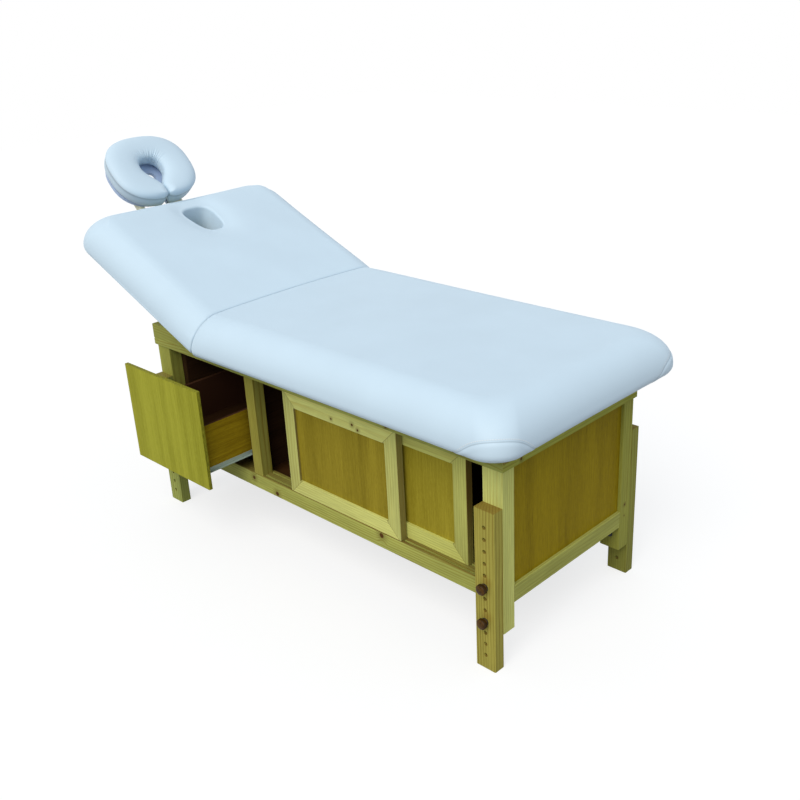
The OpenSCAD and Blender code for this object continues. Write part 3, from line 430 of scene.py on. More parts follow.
def face_pad(sizes):
    """Horseshoe cushion, worked out in mm. Sections are carried from a tear-shaped hole, half an oval of 40
    by 42 and a tail that narrows over 94, to an outer outline, an oval of 132 by 155 with the power 2.5. Its
    two lobes meet at the table's side, where the tail ends. Each section is a superellipse of power 2.3
    above and 3 to 4.6 below, a low dome over a boxed wall, with a seam between them. The gathers are two
    sine waves round the hole, and fade out from it."""
    t = np.radians(np.concatenate([np.linspace(0.4, 16, 26)[:-1], np.linspace(16, 180, 148)]))
    t = np.concatenate([t, 2 * math.pi - t[:-1][::-1]])
    c, s = np.cos(t), np.sin(t)
    side = np.sign(s)
    outer = np.stack([132 * np.sign(c) * np.abs(c) ** 0.8, 155 * side * np.abs(s) ** 0.8], axis=1)
    # Each lobe turns in to the line between them with a quarter round
    outer[:, 0] -= np.where(c > 0, 20 * quarter(np.abs(outer[:, 1]) / 34), 0)
    far_hole = np.stack([-40 * np.abs(c) ** 0.8, 42 * side * np.abs(s) ** 0.8], axis=1)
    taper = np.abs(c) ** 1.15
    near_hole = np.stack([94 * taper, 42 * side * np.cos(np.pi / 2 * taper) ** 2 + 0.25 * side], axis=1)
    inner = np.where(c[:, None] > 0, near_hole, far_hole)
    around = np.linspace(0, 2 * math.pi, 85)[:-1][None, :]
    ca, sa = np.cos(around), np.sin(around)
    square = np.where(sa > 0, 2.3, np.where(ca > 0, 4.6, 3.0))
    across = np.sign(ca) * np.abs(ca) ** (2 / square)
    upward = np.sign(sa) * np.abs(sa) ** (2 / square)
    across = across * (1 - 0.1 * np.clip(-upward, 0, 1) * (ca > 0))
    middle, half = (inner + outer) / 2, (outer - inner) / 2
    width = np.linalg.norm(half, axis=1)[:, None]
    run = run_along(middle)[:, None]
    far = bell(run - run[-1] / 2, 110)
    hole_side = smooth_step((-0.15 - ca) / 0.6) * smooth_step((sa + 0.6) / 0.4)
    phase = run / 13 * 2 * math.pi + 1.6 * np.sin(run / 21) + 0.7 * np.sin(run / 9)
    gather = sizes.gathers / MM * (np.sin(phase) + 0.5 * np.sin(0.43 * phase + 1)) * far * hole_side
    seam = np.where(around > math.pi, around - 2 * math.pi, around) * 48 + np.zeros_like(width)
    groove = 1.1 * bell(seam, 2.6) - 0.5 * bell(seam - 7, 5)
    grow = 1 + (gather - groove) / np.maximum(width, 20)
    flat = middle[:, None, :] + half[:, None, :] * (across * grow)[..., None]
    # Near the line between the lobes the top and the underside round off over 30 mm
    nose = np.where(flat[..., 0] > 0, 1 - quarter(np.abs(flat[..., 1]) / 30), 1)
    level, thick = 50, 77
    lift = np.where(sa > 0, thick - level, level) * np.minimum(np.abs(upward) * grow, nose) * np.sign(upward)
    points = np.concatenate([flat, np.maximum(level + lift, 0.4)[..., None]], axis=2) * MM
    rows, columns = points.shape[:2]
    ends = np.stack([points[0].mean(axis=0), points[-1].mean(axis=0)])
    tip, last = rows * columns, (rows - 1) * columns
    j = np.arange(columns)
    faces = grid_faces(rows, columns, False, True)
    faces += np.stack([np.full(columns, tip), (j + 1) % columns, j], axis=1).tolist()
    faces += np.stack([np.full(columns, tip + 1), last + j, last + (j + 1) % columns], axis=1).tolist()
    local = np.concatenate([points.reshape(-1, 3), ends]) + [-129 * MM, 0, 26 * MM]
    crease = np.where(flat[..., 0] > 60, np.abs(flat[..., 1]), NO_SEAM / MM)
    return mesh_piece("face_pad", on_cradle(local), faces, {
        "seam_distance": np.concatenate([seam.ravel() * MM, [NO_SEAM, NO_SEAM]]),
        "joint_distance": np.concatenate([crease.ravel() * MM, [0, 0]]),
        "seam_run": np.concatenate([np.repeat(run.ravel(), columns) * MM, [0, 0]])}, 0.01 * MM)


# Section of a knob from its bore round the collar and the neck to the dome: radius and distance from the
# leg, in mm
KNOB_SECTION = [
    (0.01, 15), (5.05, 15), (5.05, 0), (10.6, 0), (10.8, 0.3), (10.8, 1.8), (10.5, 2.1), (9.2, 2.3),
    (9.0, 5), (9.8, 6.2), (13.6, 7.6), (14.6, 8.6), (15.0, 10), (15.0, 14.5), (14.7, 16.2), (13.9, 17.8),
    (12.6, 18.8), (11, 19.5), (8, 20.2), (4, 20.7), (0.01, 20.9)]


def knob_piece(node):
    """Turned knob: a section spun round its axis, with its head's radius waved into eight soft flats."""
    low, high = corners(node)
    outward = -1 if low[1] < MIDDLE_Y else 1
    axis_x, axis_z = (low[0] + high[0]) / 2, (low[2] + high[2]) / 2
    inner_y = high[1] if outward < 0 else low[1]
    section = np.array(KNOB_SECTION) * MM
    around = np.linspace(0, 2 * math.pi, 97)[:-1]
    cell = math.pi / 4
    flats = (np.cos(cell / 2) / np.cos((around + 0.3) % cell - cell / 2)) ** 0.85
    head = np.clip((section[:, :1] - 11 * MM) / (3 * MM), 0, 1)
    radius = section[:, :1] * (1 + (flats / flats.max() - 1) * head)
    height = np.broadcast_to(section[:, 1:], radius.shape)
    points = np.stack([axis_x + radius * np.cos(around), inner_y + outward * height,
                       axis_z + radius * np.sin(around)], axis=-1)
    return mesh_piece(node + "_turned", points.reshape(-1, 3), grid_faces(*radius.shape, False, True),
                      {"from_leg": height, "from_axis": radius}, 0.05 * MM)


# Materials

MATHS = "ShaderNodeMath"
VECTOR = "ShaderNodeVectorMath"
RANGE = "ShaderNodeMapRange"
MIX = "ShaderNodeMix"
NOISE = "ShaderNodeTexNoise"
PARTS = "ShaderNodeSeparateXYZ"
STORED = "ShaderNodeAttribute"
BUMP = "ShaderNodeBump"
# Sockets of a mix node that blends colours: the two colours and the result
FIRST, SECOND, MIXED = 6, 7, 2
# Where nearly all values of a noise lie
SPAN = (0.3, 0.7)
# From here on a face counts as looking along an axis
SQUARE_ON = 0.7
# Growth rings are drawn this far apart, because real ones of 2 to 4 mm would not show
RING_GAP = 7 * MM
# A range that eases in and out
SMOOTH = {"interpolation_type": "SMOOTHSTEP"}
# The axes of an object, with the one along the grain first
ORDER = {"X": (0, 1, 2), "Y": (1, 2, 0), "Z": (2, 0, 1)}


def put(tree, kind, links=(), out=0, stops=(), **settings):
    """Adds one shader node, gives it its settings, fills or links its inputs, which are a list from the
    first on or a dictionary, and returns one of its outputs."""
    node = tree.nodes.new(kind)
    for key, value in settings.items():
        setattr(node, key, value)
    for key, value in links.items() if isinstance(links, dict) else enumerate(links):
        if isinstance(value, bpy.types.NodeSocket):
            tree.links.new(value, node.inputs[key])
        else:
            node.inputs[key].default_value = value
    for index, (place, shade) in enumerate(stops):
        elements = node.color_ramp.elements
        element = elements[index] if index < len(elements) else elements.new(place)
        element.position = place
        element.color = colour(shade)
    return node.outputs[out] if len(node.outputs) else None


def empty_tree(owner):
    """Node tree of a material or world, without nodes."""
    owner.use_nodes = True
    owner.node_tree.nodes.clear()
    return owner.node_tree


def new_material(name, roughness, **constants):
    """A material with a principled shader, and its tree, shader and object coordinates."""
    material = bpy.data.materials.new(name)
    tree = empty_tree(material)
    values = {"Roughness": roughness} | {key.replace("_", " "): value for key, value in constants.items()}
    surface = put(tree, "ShaderNodeBsdfPrincipled", values)
    put(tree, "ShaderNodeOutputMaterial", {"Surface": surface})
    return material, tree, surface.node, put(tree, "ShaderNodeTexCoord", out="Object")


def join(tree, shader, sockets):
    """Links results to the named inputs of a shader."""
    for key, socket in sockets.items():
        tree.links.new(socket, shader.inputs[key])


def facing(tree, axis):
    """How squarely a face looks along an axis of its object, from 0 to 1."""
    normal = put(tree, "ShaderNodeNewGeometry", out="True Normal")
    normal = put(tree, "ShaderNodeVectorTransform", [normal], vector_type="NORMAL", convert_from="WORLD",
                 convert_to="OBJECT")
    return put(tree, MATHS, [put(tree, PARTS, [normal], out=axis)], operation="ABSOLUTE")


def away_from(tree, place, spot):
    """The offset of a place from a spot, and its length."""
    offset = put(tree, VECTOR, [place, spot], operation="SUBTRACT")
    return offset, put(tree, VECTOR, [offset], out="Value", operation="LENGTH")


def grain_space(tree, place, along, mitre=None):
    """Coordinates whose first runs along the grain. With mitre, the box (x0, x1, z0, z1) of a frame, the
    grain follows whichever edge of the frame is nearer; the other results mark the joint line and the
    upright members."""
    part = put(tree, PARTS, [place]).node.outputs
    first = put(tree, "ShaderNodeCombineXYZ", [part[k] for k in ORDER[along]])
    if not mitre:
        return first, None, None
    shifted = put(tree, MATHS, [part[0], 0.07], operation="ADD")
    upright = put(tree, "ShaderNodeCombineXYZ", [part[2], shifted, part[1]])
    nearest = []
    for socket, low, high in ((part[0], mitre[0], mitre[1]), (part[2], mitre[2], mitre[3])):
        from_low = put(tree, MATHS, [socket, low], operation="SUBTRACT")
        from_high = put(tree, MATHS, [high, socket], operation="SUBTRACT")
        nearest.append(put(tree, MATHS, [from_low, from_high], operation="MINIMUM"))
    apart = put(tree, MATHS, [nearest[1], nearest[0]], operation="SUBTRACT")
    pick = put(tree, MATHS, [apart, 0.0], operation="GREATER_THAN")
    grain = put(tree, MIX, {0: pick, 4: first, 5: upright}, out=1, data_type="VECTOR")
    gap = put(tree, MATHS, [apart], operation="ABSOLUTE")
    return grain, put(tree, RANGE, [gap, 0.5 * MM, 1.6 * MM, 0.55, 0.0]), pick


def stretched(tree, place, sizes, out=0, detail=2.0, roughness=0.5):
    """Noise whose blotches have the given sizes in mm along each axis."""
    at = put(tree, VECTOR, [place, [1 / (size * MM) for size in sizes]], operation="MULTIPLY")
    return put(tree, NOISE, {"Vector": at, "Scale": 1.0, "Detail": detail, "Roughness": roughness}, out=out)


def pine(name, along, middle, pith, light="#afb05c", dark="#93893a", knots=(), stains=(), mitre=None,
         painted_shade_axis=None):
    """Clear lacquered pine: pale yellow with thin warmer late-wood lines along the board, arches where the
    rings run out, and knots. The rings lie round a pith line beside the board and stretch 15 times along it.
    Faces that look along the axis given for painted shade get a patchy dark brown, painted shade for the
    gaps at the doors' edges and the floor of the door grooves. The eye sees a dull clear coat, fine fibres
    and warm end grain."""
    material, tree, shader, place = new_material(name, 0.55, Specular_IOR_Level=0.06)
    grain, joint, upright = grain_space(tree, place, along, mitre)
    centre = [middle[k] for k in ORDER[along]]
    centre = (centre[0], centre[1] + pith[0], centre[2] + pith[1])
    grain = put(tree, VECTOR, [grain, centre], operation="SUBTRACT")
    wander = stretched(tree, grain, (500, 77, 77), "Color")
    wander = put(tree, VECTOR, [wander, (0.5, 0.5, 0.5)], operation="SUBTRACT")
    wander = put(tree, VECTOR, {0: wander, "Scale": 0.014}, operation="SCALE")
    rings = put(tree, VECTOR, [grain, (0.065, 1.0, 1.0)], operation="MULTIPLY")
    rings = put(tree, VECTOR, [rings, wander], operation="ADD")
    spots = None
    for spot, size in knots:
        # Rings bend round a knot, and its core is dark
        offset, reach = away_from(tree, place, spot)
        near = put(tree, RANGE, [reach, size * 3.2, 0.0, 0.0, 1.0], **SMOOTH)
        core = put(tree, RANGE, [reach, size * 1.05, size * 0.6, 0.0, 1.0], **SMOOTH)
        bend = put(tree, VECTOR, {0: offset, "Scale": near}, operation="SCALE")
        rings = put(tree, VECTOR, [rings, bend], operation="ADD")
        halo = put(tree, MATHS, [near, 0.5], operation="MULTIPLY")
        dark_spot = put(tree, MATHS, [core, halo], operation="MAXIMUM")
        spots = put(tree, MATHS, [spots, dark_spot], operation="MAXIMUM") if spots else dark_spot
    # A wave node has one ring in 2 pi / (20 x scale) metres
    ring = put(tree, "ShaderNodeTexWave", {
        "Vector": rings, "Scale": 2 * math.pi / (20 * RING_GAP), "Distortion": 0.8, "Detail": 1.0,
        "Detail Scale": 0.5}, out=1, wave_type="RINGS", rings_direction="SPHERICAL", wave_profile="SAW")
    base = put(tree, "ShaderNodeValToRGB", [ring],
               stops=((0.0, light), (0.5, light), (0.88, dark), (0.98, light)))
    # Here and there the lines fade to plain wood
    plain = put(tree, RANGE, [stretched(tree, grain, (330, 45, 45)), 0.38, 0.66, 0.65, 0.0])
    base = put(tree, MIX, {0: plain, FIRST: base, SECOND: colour(light)}, MIXED, data_type="RGBA")
    # Fibres drawn 2 mm across, wider than real ones so that they show, and soft bands between them
    fibre = stretched(tree, grain, (67, 2.17, 2.17), detail=3.0, roughness=0.6)
    broad = stretched(tree, grain, (455, 62.5, 62.5), detail=1.0)
    fine_tone = put(tree, RANGE, [fibre, *SPAN, 0.84, 1.12])
    broad_tone = put(tree, RANGE, [broad, *SPAN, 0.86, 1.1])
    tone = put(tree, MATHS, [fine_tone, broad_tone], operation="MULTIPLY")
    base = put(tree, VECTOR, {0: base, "Scale": tone}, operation="SCALE")
    if upright:
        # The upright members are a tone darker
        tone = put(tree, RANGE, [upright, 0.0, 1.0, 1.0, 0.81])
        base = put(tree, VECTOR, {0: base, "Scale": tone}, operation="SCALE")
    # Colours that lie over the grain, from knots to rubbed-off polish, and painted shade
    layers = [(spots, "#54350f")] if spots else []
    if joint:
        layers.append((joint, "#5c4a1c"))
    else:
        # End grain drinks more lacquer and turns reddish brown
        end = put(tree, MATHS, [facing(tree, along), SQUARE_ON], operation="GREATER_THAN")
        layers.append((put(tree, MATHS, [end, 0.55], operation="MULTIPLY"), "#7d5a24"))
    if painted_shade_axis:
        # Painted shade: faces that look along the given axis get a patchy dark brown, for the gaps at the
        # doors' edges and the floor of the door grooves
        brown = put(tree, MATHS, [facing(tree, painted_shade_axis), SQUARE_ON], operation="GREATER_THAN")
        patchy = put(tree, RANGE, [broad, *SPAN, 0.3, 0.9])
        layers.append((put(tree, MATHS, [brown, patchy], operation="MULTIPLY"), "#5e3a12"))
    for spot, size in stains:
        # Brown polish rubbed off a knob on to the wood above it
        reach = away_from(tree, place, spot)[1]
        layers.append((put(tree, RANGE, [reach, size, 0.0, 0.0, 0.45], **SMOOTH), "#855c12"))
    for share, code in layers:
        base = put(tree, MIX, {0: share, FIRST: base, SECOND: colour(code)}, MIXED, data_type="RGBA")
    bump = put(tree, BUMP, {"Height": fibre, "Strength": 0.3, "Distance": 0.25 * MM})
    join(tree, shader, {"Base Color": base, "Normal": bump})
    return material


def plywood(name, along, through, face, light, dark, band, inside=None):
    """Lacquered plywood: a face veneer with fine streaks 2 to 3 mm wide and broad bands, and cut edges that
    show plies of 2.3 mm and their dark glue lines. through is the axis through the board and face the place
    of one face on it. inside is a pair of places on X between which the board is stained dark. The eye sees
    flat, dull boards, livelier than paint and calmer than the pine round them."""
    material, tree, shader, place = new_material(name, 0.55, Specular_IOR_Level=0.05)
    grain = grain_space(tree, place, along)[0]
    streak = stretched(tree, grain, (111, 3.03, 3.03), detail=4.0, roughness=0.7)
    fleck = stretched(tree, grain, (14.3, 1.667, 1.667))
    bands = stretched(tree, grain, (1430, band, band), detail=1.5)
    mixed = put(tree, MATHS, [streak, 0.42], operation="MULTIPLY")
    mixed = put(tree, MATHS, [bands, 0.34, mixed], operation="MULTIPLY_ADD")
    mixed = put(tree, MATHS, [fleck, 0.24, mixed], operation="MULTIPLY_ADD")
    spread = 0.132 if inside else 0.11
    base = put(tree, "ShaderNodeValToRGB", [mixed], stops=((0.5 - spread, dark), (0.5 + spread, light)))
    part = put(tree, PARTS, [place]).node.outputs
    depth = put(tree, MATHS, [part[ORDER[through][0]], face], operation="SUBTRACT")
    layer = put(tree, MATHS, [depth, 2.3 * MM], operation="DIVIDE")
    layer = put(tree, MATHS, [layer, 1.0], operation="PINGPONG")
    plies = put(tree, "ShaderNodeValToRGB", [layer],
                stops=((0.0, "#4e3a14"), (0.25, dark), (0.8, light), (1.0, dark)))
    rough_saw = put(tree, RANGE, [fleck, 0.35, 0.6, 0.55, 1.0])
    plies = put(tree, VECTOR, {0: plies, "Scale": rough_saw}, operation="SCALE")
    cut = put(tree, MATHS, [facing(tree, through), SQUARE_ON], operation="LESS_THAN")
    base = put(tree, MIX, {0: cut, FIRST: base, SECOND: plies}, MIXED, data_type="RGBA")
    if inside:
        past_low = put(tree, MATHS, [part[0], inside[0]], operation="GREATER_THAN")
        past_high = put(tree, MATHS, [part[0], inside[1]], operation="LESS_THAN")
        between = put(tree, MATHS, [past_low, past_high], operation="MULTIPLY")
        base = put(tree, MIX, {0: between, FIRST: base, SECOND: colour("#4c3122")}, MIXED, data_type="RGBA")
    bump = put(tree, BUMP, {"Height": streak, "Strength": 0.2, "Distance": 0.2 * MM})
    join(tree, shader, {"Base Color": base, "Normal": bump})
    return material


def vinyl(name, base):
    """Soft upholstery vinyl: a fine embossed grain about 2 mm wide under a satin film, a dark line of
    painted shade in the fold of each seam and a row of pale stitches beside it. The joints between the pads
    and between the face cushion's lobes are darkened as painted shade too. The eye sees an even skin whose
    light rolls off softly."""
    material, tree, shader, place = new_material(name, 0.5, IOR=1.46, Specular_IOR_Level=0.3)
    hide = put(tree, "ShaderNodeTexVoronoi", {"Vector": place, "Scale": 1 / (2 * MM)}, out="Distance",
               feature="SMOOTH_F1")
    cloud = stretched(tree, place, (167, 167, 167), detail=3.0)
    tone = put(tree, RANGE, [cloud, *SPAN, 0.98, 1.015])
    plain = put(tree, VECTOR, {0: base[:3], "Scale": tone}, operation="SCALE")
    distance = put(tree, STORED, out="Fac", attribute_name="seam_distance")
    run = put(tree, STORED, out="Fac", attribute_name="seam_run")
    joint = put(tree, STORED, out="Fac", attribute_name="joint_distance")
    nearness = put(tree, MATHS, [distance], operation="ABSOLUTE")
    # Painted shade: the fold of each seam, and the joint between the pads or between the face cushion's
    # lobes, are darkened
    fold = put(tree, RANGE, [nearness, 0.4 * MM, 2.2 * MM, 0.38, 0.0], **SMOOTH)
    closed = put(tree, RANGE, [joint, 0.5 * MM, 3.0 * MM, 0.25, 0.0], **SMOOTH)
    fold = put(tree, MATHS, [fold, closed], operation="MAXIMUM")
    aside = put(tree, MATHS, [distance, 5.5 * MM], operation="SUBTRACT")
    aside = put(tree, MATHS, [aside], operation="ABSOLUTE")
    thread = put(tree, RANGE, [aside, 0.5 * MM, 1.3 * MM, 1.0, 0.0], **SMOOTH)
    # Stitches 6 mm long, a little longer than real ones so that they show
    turn = put(tree, MATHS, [run, 2 * math.pi / (6 * MM)], operation="MULTIPLY")
    wave = put(tree, MATHS, [turn], operation="SINE")
    dash = put(tree, RANGE, [wave, -0.6, 0.0, 0.0, 1.0])
    stitch = put(tree, MATHS, [thread, dash], operation="MULTIPLY")
    # The painted shade in folds and joints is this darker grey blue of the vinyl
    shade = put(tree, MIX, {0: fold, FIRST: plain, SECOND: colour("#7d929f")}, MIXED, data_type="RGBA")
    shade = put(tree, MIX, {0: stitch, FIRST: shade, SECOND: colour("#e6eef3")}, MIXED, data_type="RGBA")
    fine = put(tree, BUMP, {"Height": hide, "Strength": 0.14, "Distance": 0.15 * MM})
    raised = put(tree, BUMP, {"Height": stitch, "Strength": 0.6, "Distance": 0.6 * MM, "Normal": fine})
    join(tree, shader, {"Base Color": shade, "Normal": raised})
    return material


def plain_finish(name, base, roughness, grit, depth, shift=0.06, **constants):
    """A coat, plating or moulded skin without a figure: its colour and roughness wander a little, and its
    surface has a fine grain of the given grit and depth in mm."""
    material, tree, shader, place = new_material(name, roughness, **constants)
    cloud = stretched(tree, place, (40, 40, 40), detail=3.0)
    grain = stretched(tree, place, (grit, grit, grit))
    tone = put(tree, RANGE, [cloud, *SPAN, 1 - shift, 1 + shift])
    shade = put(tree, VECTOR, {0: colour(base)[:3], "Scale": tone}, operation="SCALE")
    gloss = put(tree, RANGE, [cloud, *SPAN, roughness - 0.05, roughness + 0.08])
    bump = put(tree, BUMP, {"Height": grain, "Strength": 0.3, "Distance": depth * MM})
    join(tree, shader, {"Base Color": shade, "Roughness": gloss, "Normal": bump})
    return material


def knob_finish():
    """Stained and polished beech: dark brown with long darker pores, nearly black in the hollow behind the
    head and on the rim, with a steel washer against the leg. The eye sees a dark gloss that catches light on
    the flats."""
    material, tree, shader, place = new_material("Stained beech, polished", 0.42, Specular_IOR_Level=0.14)
    # Pores drawn wider than real ones so that they show
    pores = stretched(tree, place, (1.11, 1.11, 6.25))
    cloud = stretched(tree, place, (16.7, 16.7, 16.7))
    mixed = put(tree, MATHS, [pores, cloud], operation="ADD")
    mixed = put(tree, MATHS, [mixed, 0.5], operation="MULTIPLY")
    base = put(tree, "ShaderNodeValToRGB", [mixed], stops=((0.38, "#2c1a04"), (0.62, "#60400c")))
    out = put(tree, STORED, out="Fac", attribute_name="from_leg")
    wide = put(tree, STORED, out="Fac", attribute_name="from_axis")
    aside = put(tree, MATHS, [wide, 14.3 * MM], operation="SUBTRACT")
    aside = put(tree, MATHS, [aside], operation="ABSOLUTE")
    rim = put(tree, RANGE, [aside, 0.4 * MM, 2.2 * MM, 0.6, 0.0], **SMOOTH)
    washer = put(tree, MATHS, [out, 2.2 * MM], operation="LESS_THAN")
    base = put(tree, MIX, {0: rim, FIRST: base, SECOND: colour("#1d1206")}, MIXED, data_type="RGBA")
    base = put(tree, MIX, {0: washer, FIRST: base, SECOND: colour("#3a3d3b")}, MIXED, data_type="RGBA")
    bump = put(tree, BUMP, {"Height": pores, "Strength": 0.25, "Distance": 0.15 * MM})
    join(tree, shader, {"Base Color": base, "Metallic": washer, "Normal": bump})
    return material


def dress(node, material):
    """Gives a CAD node's object a material."""
    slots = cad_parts[node].data.materials
    slots.clear()
    slots.append(material)


def ready(piece, body, material, replaced):
    """Material, slot, body and replaced nodes for one new piece."""
    piece.data.materials.append(material)
    if body:
        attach(piece, body)
    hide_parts(*replaced)
    return piece


# Finish of each pine member: the way its grain runs, and its light and dark tones where they differ from the
# rest. The door frames' paler tones are partly painted light, and the cradle arms' cream tones are painted
# light
MEMBERS = {
    "rim_front": ("X", "#a9ad58", "#8f7d31"), "rim_back": ("X",), "rim_head": ("Y",),
    "rim_foot": ("Y", "#a3a446", "#857a2c"), "side_rail_front": ("X", "#a2a552", "#8f7d31"),
    "side_rail_back": ("X",), "cross_rail_head": ("Y",), "cross_rails": ("Y",),
    "lower_rail_front": ("X", "#b0b35c", "#8f7c2e"), "lower_rail_back": ("X",), "lower_rail_head": ("Y",),
    "lower_rail_foot": ("Y",), "stile_front": ("Z", "#a29c48", "#8a7a2c"), "floor_bearers": ("X",),
    "post_front_head": ("Z", "#aeb052", "#8f8632"), "post_front_foot": ("Z", "#d4d67c", "#bfb458"),
    "post_back_head": ("Z",), "post_back_foot": ("Z", "#9a9a45", "#857c30"),
    "leg_front_head": ("Z", "#a4ac5a", "#878236"), "leg_front_foot": ("Z", "#aca24c", "#7c6622"),
    "leg_back_head": ("Z",), "leg_back_foot": ("Z", "#8f8f42", "#7a6c28"),
    # The door frames' pale wood is made paler still as painted light, against the shade under the pad's edge
    "door_front_frame": ("X", "#d6d67e", "#c2b85e"), "door_rear_frame": ("X", "#cecf72", "#bab056"),
    # The cradle arms get near-white cream tones as painted light, so that they stay pale in the shade under
    # the face cushion
    "head_underframe": ("X",), "cradle_base": ("Y",), "cradle_arms": ("X", "#f0edd0", "#dcd6ac"),
}
# Knots that the photo shows, in mm: place and radius
KNOTS = {
    "lower_rail_front": [((-74.7, -249, 212), 8), ((35.7, -249, 193), 9), ((487.5, -249, 220.6), 10)],
    "rim_front": [((535, -255, 563), 5)], "rim_foot": [((917.8, -186, 566), 5)],
    "door_front_frame": [((315, -249, 521), 4), ((399, -249, 527), 5), ((420, -249, 517), 4.5)],
    "post_back_foot": [((911.8, 285, 236), 4), ((911.8, 285, 201), 2.2)],
}
# Faces that get a patchy dark brown as painted shade, at the doors' edges and on the floor of the door
# grooves: the axis they face
PAINTED_SHADE_FACES = {"door_front_frame": "X", "door_rear_frame": "X", "lower_rail_front": "Z"}
# Finish of each plywood board: the way its grain runs, the axis through it, light and dark tones and width
# of bands
BOARDS = {
    "drawer_front": ("Z", "Y", "#aeac3a", "#929028", 30),
    "door_front_panel": ("Z", "Y", "#a3912c", "#80701a", 40),
    "door_rear_panel": ("Z", "Y", "#a99a30", "#87781b", 40),
    "end_panels": ("Z", "X", "#a38c16", "#7c6808", 60), "back_panels": ("Z", "Y", "#8d7a14", "#6b5a08", 60),
    "foot_board": ("X", "Z", "#9a8546", "#7d6a2e", 60), "head_board": ("X", "Z", "#9a8546", "#7d6a2e", 60),
    "drawer_bay_sides": ("Y", "X", "#46301f", "#2f1e12", 60),
    "cabinet_floor": ("X", "Z", "#4b2f18", "#33200f", 60),
    "drawer_bottom": ("Y", "Z", "#402a18", "#2e1d10", 60), "top_board": ("X", "Z", "#3a2a12", "#281b0c", 60),
    "drawer_box": ("Y", "X", "#ab901c", "#785e0c", 14),
}


# Settings

def length_of(name, text, value):
    """A length property in metres."""
    return FloatProperty(name=name, description=text, unit="LENGTH", min=0, precision=4, default=value * MM)


class TablePads(bpy.types.PropertyGroup):
    """Sizes and colour of the upholstery"""
    crown: length_of("Crown", "Rise of the pads' tops to the middle", 5)
    roll: length_of("Seam roll", "Radius at which each pad turns down into the seam between them", 4.5)
    lip: length_of("Lip", "Radius of the face hole's lip", 9)
    dip: length_of("Dip", "How far the cover is drawn down round the face hole", 14)
    gathers: length_of("Gathers", "Depth of the gathers round the face cushion's hole", 1.4)
    vinyl: FloatVectorProperty(name="Vinyl", description="Colour of the upholstery", subtype="COLOR", size=4,
                               min=0, max=1, default=colour("#cfe3f0"))


class TableStudio(bpy.types.PropertyGroup):
    """Light and camera"""
    key: FloatProperty(name="Key light", description="Strength of the main light", default=1.93, min=0)
    sky: FloatProperty(name="Sky", description="Strength of the light from all round", default=0.5, min=0)
    glow: FloatProperty(name="Floor glow", description="Light that the camera sees the floor give",
                        default=0.72, min=0)
    lens: FloatProperty(name="Lens", description="Focal length of the camera", default=44.733, unit="CAMERA")


def upholstery():
    """The vinyl material, made once."""
    name = "Upholstery vinyl, embossed"
    return bpy.data.materials.get(name) or vinyl(name, tuple(bpy.context.scene.table_pads.vinyl))


# Operators

class TABLE_OT_foot_pad(bpy.types.Operator):
    """Builds the fixed foot pad"""
    bl_idname = "table.foot_pad"
    bl_label = "Foot pad"

    def execute(self, context):
        piece = ready(foot_pad(context.scene.table_pads), "cabinet", upholstery(), ["foot_cushion"])
        return {"FINISHED"}


class TABLE_OT_head_pad(bpy.types.Operator):
    """Builds the raised head pad, tilted up from the seam"""
    bl_idname = "table.head_pad"
    bl_label = "Head pad"

    def execute(self, context):
        piece = ready(head_pad(context.scene.table_pads), None, upholstery(), ["head_cushion"])
        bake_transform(piece)
        return {"FINISHED"}


class TABLE_OT_face_pad(bpy.types.Operator):
    """Builds the horseshoe cushion of the face cradle and covers its board"""
    bl_idname = "table.face_pad"
    bl_label = "Face cushion"

    def execute(self, context):
        shape = face_pad(context.scene.table_pads)
        piece = ready(shape, "cradle_rest", upholstery(), ["face_cushion"])
        # The cushion's board is covered with the same vinyl, without seams; its colour is a darker, bluer
        # copy of the vinyl's, painted shade for the board under the cushion
        dress("cradle_platform", plain_finish("Upholstery vinyl, board", "#b4c6e2", 0.5, 2.0, 0.1, 0.02,
                                              Specular_IOR_Level=0.3))
        return {"FINISHED"}


class TABLE_OT_knobs(bpy.types.Operator):
    """Builds the eight wooden knobs"""
    bl_idname = "table.knobs"
    bl_label = "Knobs"

    def execute(self, context):
        wood = knob_finish()
        for node in [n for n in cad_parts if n.startswith("knob_")]:
            ready(knob_piece(node), node, wood, [node])
        return {"FINISHED"}


class TABLE_OT_woodwork(bpy.types.Operator):
    """Finishes the pine frame and the plywood"""
    bl_idname = "table.woodwork"
    bl_label = "Woodwork"

    def execute(self, context):
        for index, (node, (along, *tones)) in enumerate(MEMBERS.items()):
            low, high = corners(node)
            # Each member is cut from another place beside the pith
            pith = ((0.07 + 0.013 * (index * 7 % 5)) * (1 if index % 2 else -1),
                    (0.05 + 0.017 * (index * 3 % 7)) * (1 if index % 3 else -1))
            knots = [(tuple(v * MM for v in spot), size * MM) for spot, size in KNOTS.get(node, [])]
            stains = []
            if node in ("leg_front_foot", "leg_front_head"):
                for end in ("_upper", "_lower"):
                    knob_low, knob_high = corners(node.replace("leg", "knob") + end)
                    stains.append((tuple((knob_low + knob_high) / 2 + np.array([6, 14, 18]) * MM), 26 * MM))
            mitre = (low[0], high[0], low[2], high[2]) if node.startswith("door") else None
            dress(node, pine("Pine, " + node.replace("_", " "), along, tuple((low + high) / 2), pith, *tones,
                             knots=knots, stains=stains, mitre=mitre, painted_shade_axis=PAINTED_SHADE_FACES.get(node)))
        for node, (along, through, light, dark, band) in BOARDS.items():
            low, high = corners(node)
            # The drawer is stained dark inside and left yellow outside
            inside = (float(low[0]) + 1 * MM, float(high[0]) - 1 * MM) if node == "drawer_box" else None
            dress(node, plywood("Plywood, " + node.replace("_", " "), along, through,
                                float(low[ORDER[through][0]]), light, dark, band, inside))
        return {"FINISHED"}


